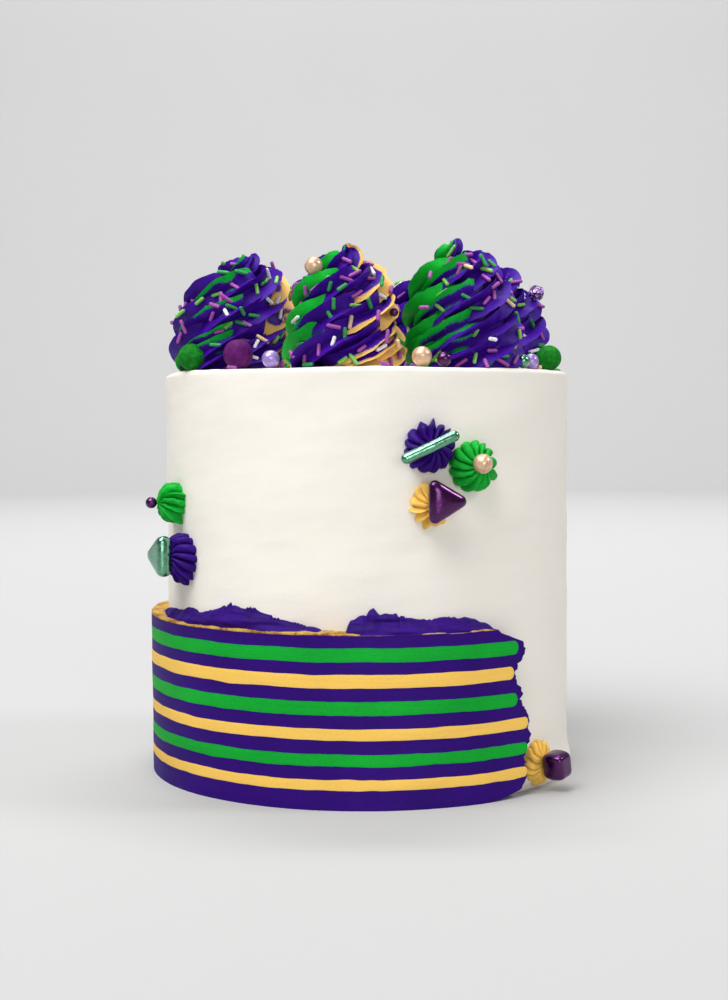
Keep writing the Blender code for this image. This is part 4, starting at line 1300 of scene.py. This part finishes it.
def sprinkle_tree():
    """Points on the cage are thrown inwards; where they land on icing, clear of the balls, a rod lies."""
    make = TreeMaker("sprinkles", {
        "Icing": "Object", "Keep Clear": "Object", "Length": "Float", "Radius": "Float",
        "Least Distance": "Float", "Density": "Float", "Share From": "Float", "Share To": "Float",
        "Seed": "Int", "Material": "Material"})
    given = make.inputs
    thrown = make.node("GeometryNodeDistributePointsOnFaces", {"distribute_method": "POISSON"}, {
        "Mesh": given["Geometry"], "Distance Min": given["Least Distance"], "Density Max": given["Density"],
        "Seed": given["Seed"]}).outputs
    icing = make.node("GeometryNodeObjectInfo", None, {"Object": given["Icing"]}).outputs["Geometry"]
    inward = make.vector("SCALE", {0: thrown["Normal"], "Scale": -1.0})
    landed = make.node("GeometryNodeRaycast", None, {
        "Target Geometry": icing, "Ray Direction": inward, "Ray Length": THROW_LENGTH}).outputs
    settled = make.vector("ADD", {0: landed["Hit Normal"], 1: thrown["Normal"]})
    capture = make.node("GeometryNodeCaptureAttribute", None, {"Geometry": thrown["Points"]})
    for kind, name, value in (("VECTOR", "Place", landed["Hit Position"]), ("VECTOR", "Up", settled),
                              ("FLOAT", "Landed", landed["Is Hit"])):
        capture.capture_items.new(kind, name)
        make.tree.links.new(value, capture.inputs[name])
    kept = capture.outputs
    clear = make.node("GeometryNodeObjectInfo", None, {"Object": given["Keep Clear"]}).outputs["Geometry"]
    near = make.node("GeometryNodeProximity", {"target_element": "FACES"},
                     {"Geometry": clear, "Source Position": kept["Place"]}).outputs["Distance"]
    too_near = make.compare("LESS_THAN", near, make.math("MULTIPLY", given["Length"], CLEAR_SHARE))
    missed = make.compare("LESS_THAN", kept["Landed"], 0.5)
    drawn = make.random(0.0, 1.0, 1)
    other_kind = make.either(make.compare("LESS_THAN", drawn, given["Share From"]),
                             make.compare("GREATER_EQUAL", drawn, given["Share To"]))
    left = make.first("GeometryNodeDeleteGeometry", {"domain": "POINT"}, {
        "Geometry": kept["Geometry"], "Selection": make.either(make.either(too_near, missed), other_kind)})
    raised = make.vector("SCALE", {0: make.vector("NORMALIZE", {0: kept["Up"]}), "Scale": given["Radius"]})
    moved = make.first("GeometryNodeSetPosition", None, {
        "Geometry": left, "Position": kept["Place"], "Offset": raised})
    upright = make.first("FunctionNodeAlignRotationToVector", {"axis": "Z"}, {"Vector": kept["Up"]})
    turned = make.combine(0.0, make.random(-TILT, TILT, 2), make.random(0.0, 2.0 * math.pi, 3))
    heading = make.first("FunctionNodeEulerToRotation", None, {"Euler": turned})
    facing = make.first("FunctionNodeRotateRotation", {"rotation_space": "LOCAL"},
                        {"Rotation": upright, "Rotate By": heading})
    scattered = make.first("GeometryNodeInstanceOnPoints", None, {
        "Points": moved, "Instance": sprinkle_rod(make, given), "Rotation": facing,
        "Scale": make.combine(make.random(*LENGTH_SHARES, 4), 1.0, 1.0)})
    real = make.first("GeometryNodeRealizeInstances", None, {"Geometry": scattered})
    painted = make.first("GeometryNodeSetMaterial", None, {"Geometry": real, "Material": given["Material"]})
    make.node("NodeGroupOutput", None, {"Geometry": painted})
    return make


def make_sprinkles(swirls, body, balls):
    """The sprinkles of each colour: the tree's result on the cage, kept as a plain mesh."""
    sizes = bpy.context.scene.cake_sprinkles
    cage = cage_object()
    icing = joined("landing", swirls + [body])
    clear = joined("clear", balls)
    make = sprinkle_tree()
    for kind, (share_from, share_to, colour) in SPRINKLE_KINDS.items():
        name = "sprinkles_" + kind
        scatter = add_object("scatter", cage.data.copy())
        modifier = scatter.modifiers.new("sprinkles", "NODES")
        modifier.node_group = make.tree
        settings = {
            "Icing": icing, "Keep Clear": clear, "Length": sizes.length, "Radius": sizes.radius,
            "Least Distance": sizes.apart, "Density": sizes.density, "Share From": share_from,
            "Share To": share_to, "Seed": sizes.seed,
            "Material": sprinkle_sugar(Finish("sprinkle_" + kind), colour)}
        for key, value in settings.items():
            modifier[make.identifiers[key]] = value
        graph = bpy.context.evaluated_depsgraph_get()
        graph.update()
        mesh = bpy.data.meshes.new_from_object(scatter.evaluated_get(graph))
        bpy.data.objects.remove(scatter)
        mesh.name = name
        shade_mesh(mesh, 50.0)
        piece = add_object(name, mesh)
        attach(piece, BODY)
    for helper in (cage, icing, clear):
        bpy.data.objects.remove(helper)


# Stage

def add_camera():
    data = bpy.data.cameras.new("camera")
    data.sensor_width = SENSOR
    data.lens = CAMERA_FOCAL * SENSOR
    data.shift_x = CAMERA_SHIFT
    camera = add_object("camera", data)
    camera.matrix_world = (Matrix.Translation((0.0, -CAMERA_DISTANCE * MM, CAMERA_HEIGHT * MM))
                           @ Matrix.Rotation(math.radians(90.0) + CAMERA_PITCH, 4, "X")
                           @ Matrix.Rotation(CAMERA_ROLL, 4, "Z"))
    bpy.context.scene.camera = camera


def add_light(name, power):
    place, aimed_at, diameter, _ = LIGHTS[name]
    data = bpy.data.lights.new(name, "AREA")
    data.shape = "DISK"
    data.size = diameter
    data.energy = power
    light = add_object(name, data)
    light.location = place
    aim = Vector(aimed_at) - Vector(place)
    light.rotation_euler = aim.to_track_quat("-Z", "Y").to_euler()


def add_backdrop(colour):
    """A floor that curves up all round into a pale wall."""
    rows = [(0.01, 0.0), (1.0, 0.0), (FLOOR_REACH, 0.0)]
    rows += [(FLOOR_REACH + FLOOR_CURVE * math.sin(turn), FLOOR_CURVE * (1.0 - math.cos(turn)))
             for turn in np.linspace(0.1, 0.5 * math.pi, 14)]
    rows.append((FLOOR_REACH + FLOOR_CURVE, WALL_TOP))
    outline = np.array(rows)
    angle = np.linspace(0.0, 360.0, 96, endpoint=False)
    points = round_cake(angle[None, :], outline[:, :1], outline[:, 1:]) / MM
    faces = quads(len(rows), len(angle))
    faces.append(list(range(len(angle))))
    mesh = bpy.data.meshes.new("backdrop")
    mesh.from_pydata(points.reshape(-1, 3).tolist(), [], faces)
    mesh.materials.append(studio_paper(Finish("studio_paper"), colour))
    mesh.shade_smooth()
    backdrop = add_object("backdrop", mesh)


def add_sky(strength):
    world = bpy.data.worlds.new("sky")
    bpy.context.scene.world = world
    world.use_nodes = True
    background = world.node_tree.nodes["Background"]
    background.inputs["Color"].default_value = (1.0, 1.0, 1.0, 1.0)
    background.inputs["Strength"].default_value = strength


# Operators

class CAKE_OT_body(bpy.types.Operator):
    """Make the white iced body"""

    bl_idname = "cake.body"
    bl_label = "White body"

    def execute(self, context):
        make_body()
        return {"FINISHED"}


class CAKE_OT_band(bpy.types.Operator):
    """Make the striped band, its gold ledge and the purple smears above it"""

    bl_idname = "cake.band"
    bl_label = "Striped band"

    def execute(self, context):
        make_coat()
        for name in STRIPES:
            make_stripe(name)
        make_rim()
        for name in SMEARS:
            make_smear(name)
        return {"FINISHED"}


class CAKE_OT_swirls(bpy.types.Operator):
    """Pipe the seven swirls on top"""

    bl_idname = "cake.swirls"
    bl_label = "Piped swirls"

    def execute(self, context):
        for name in SWIRLS:
            make_swirl(name)
        return {"FINISHED"}


class CAKE_OT_stars(bpy.types.Operator):
    """Pipe the stars on the side"""

    bl_idname = "cake.stars"
    bl_label = "Piped stars"

    def execute(self, context):
        for name in STARS:
            make_star(name)
        return {"FINISHED"}


class CAKE_OT_sweets(bpy.types.Operator):
    """Make the balls, pearls, sweets and the sugar crystal"""

    bl_idname = "cake.sweets"
    bl_label = "Balls and sweets"

    def execute(self, context):
        for name in sorted(frame["nodes"]):
            if name.startswith(tuple(BALL_FINISHES)):
                make_ball(name)
        make_crystal()
        for name in SWEETS:
            make_sweet(name)
        return {"FINISHED"}


class CAKE_OT_sprinkles(bpy.types.Operator):
    """Scatter the sprinkles on the swirls and the top"""

    bl_idname = "cake.sprinkles"
    bl_label = "Sprinkles"

    def execute(self, context):
        objects = bpy.data.objects
        swirls = [piece for piece in objects if piece.name.startswith("piped_swirl")]
        balls = [piece for piece in objects if piece.name.endswith("_round") or piece.name == "sugar_crystal"]
        if len(swirls) != len(SWIRLS):
            raise RuntimeError("the swirls come before the sprinkles")
        make_sprinkles(swirls, objects["icing_white"], balls)
        return {"FINISHED"}


class CAKE_OT_stage(bpy.types.Operator):
    """Set up the floor, the lights and the camera"""

    bl_idname = "cake.stage"
    bl_label = "Stage"

    def execute(self, context):
        settings = context.scene.cake_stage
        add_backdrop(tuple(settings.floor_colour))
        add_sky(settings.sky)
        for name, light in LIGHTS.items():
            add_light(name, getattr(settings, light[-1]))
        add_camera()
        context.scene.view_settings.view_transform = "Standard"
        return {"FINISHED"}


OPERATORS = (CAKE_OT_body, CAKE_OT_band, CAKE_OT_swirls, CAKE_OT_stars, CAKE_OT_sweets, CAKE_OT_sprinkles,
             CAKE_OT_stage)
GROUPS = {"cake_colours": CakeColours, "cake_swirls": SwirlSizes, "cake_sprinkles": SprinkleSizes,
          "cake_stage": StageSettings}


class CAKE_PT_panel(bpy.types.Panel):
    """Lists the cake's pieces and their settings"""

    bl_label = "Decorated cake"
    bl_idname = "CAKE_PT_panel"
    bl_space_type = "VIEW_3D"
    bl_region_type = "UI"
    bl_category = "Cake"

    def draw(self, context):
        for operator in OPERATORS:
            self.layout.operator(operator.bl_idname)
        for group in GROUPS:
            settings = getattr(context.scene, group)
            box = self.layout.box()
            for key in settings.bl_rna.properties.keys():
                if key not in ("rna_type", "name"):
                    box.prop(settings, key)


def register():
    for key, group in GROUPS.items():
        bpy.utils.register_class(group)
        setattr(bpy.types.Scene, key, PointerProperty(type=group))
    for operator in OPERATORS:
        bpy.utils.register_class(operator)
    bpy.utils.register_class(CAKE_PT_panel)


def unregister():
    bpy.utils.unregister_class(CAKE_PT_panel)
    for operator in reversed(OPERATORS):
        bpy.utils.unregister_class(operator)
    for key, group in GROUPS.items():
        delattr(bpy.types.Scene, key)
        bpy.utils.unregister_class(group)


def main():
    register()
    bpy.ops.cake.body()
    bpy.ops.cake.band()
    bpy.ops.cake.swirls()
    bpy.ops.cake.stars()
    bpy.ops.cake.sweets()
    bpy.ops.cake.sprinkles()
    bpy.ops.cake.stage()


if __name__ == "__main__":
    main()
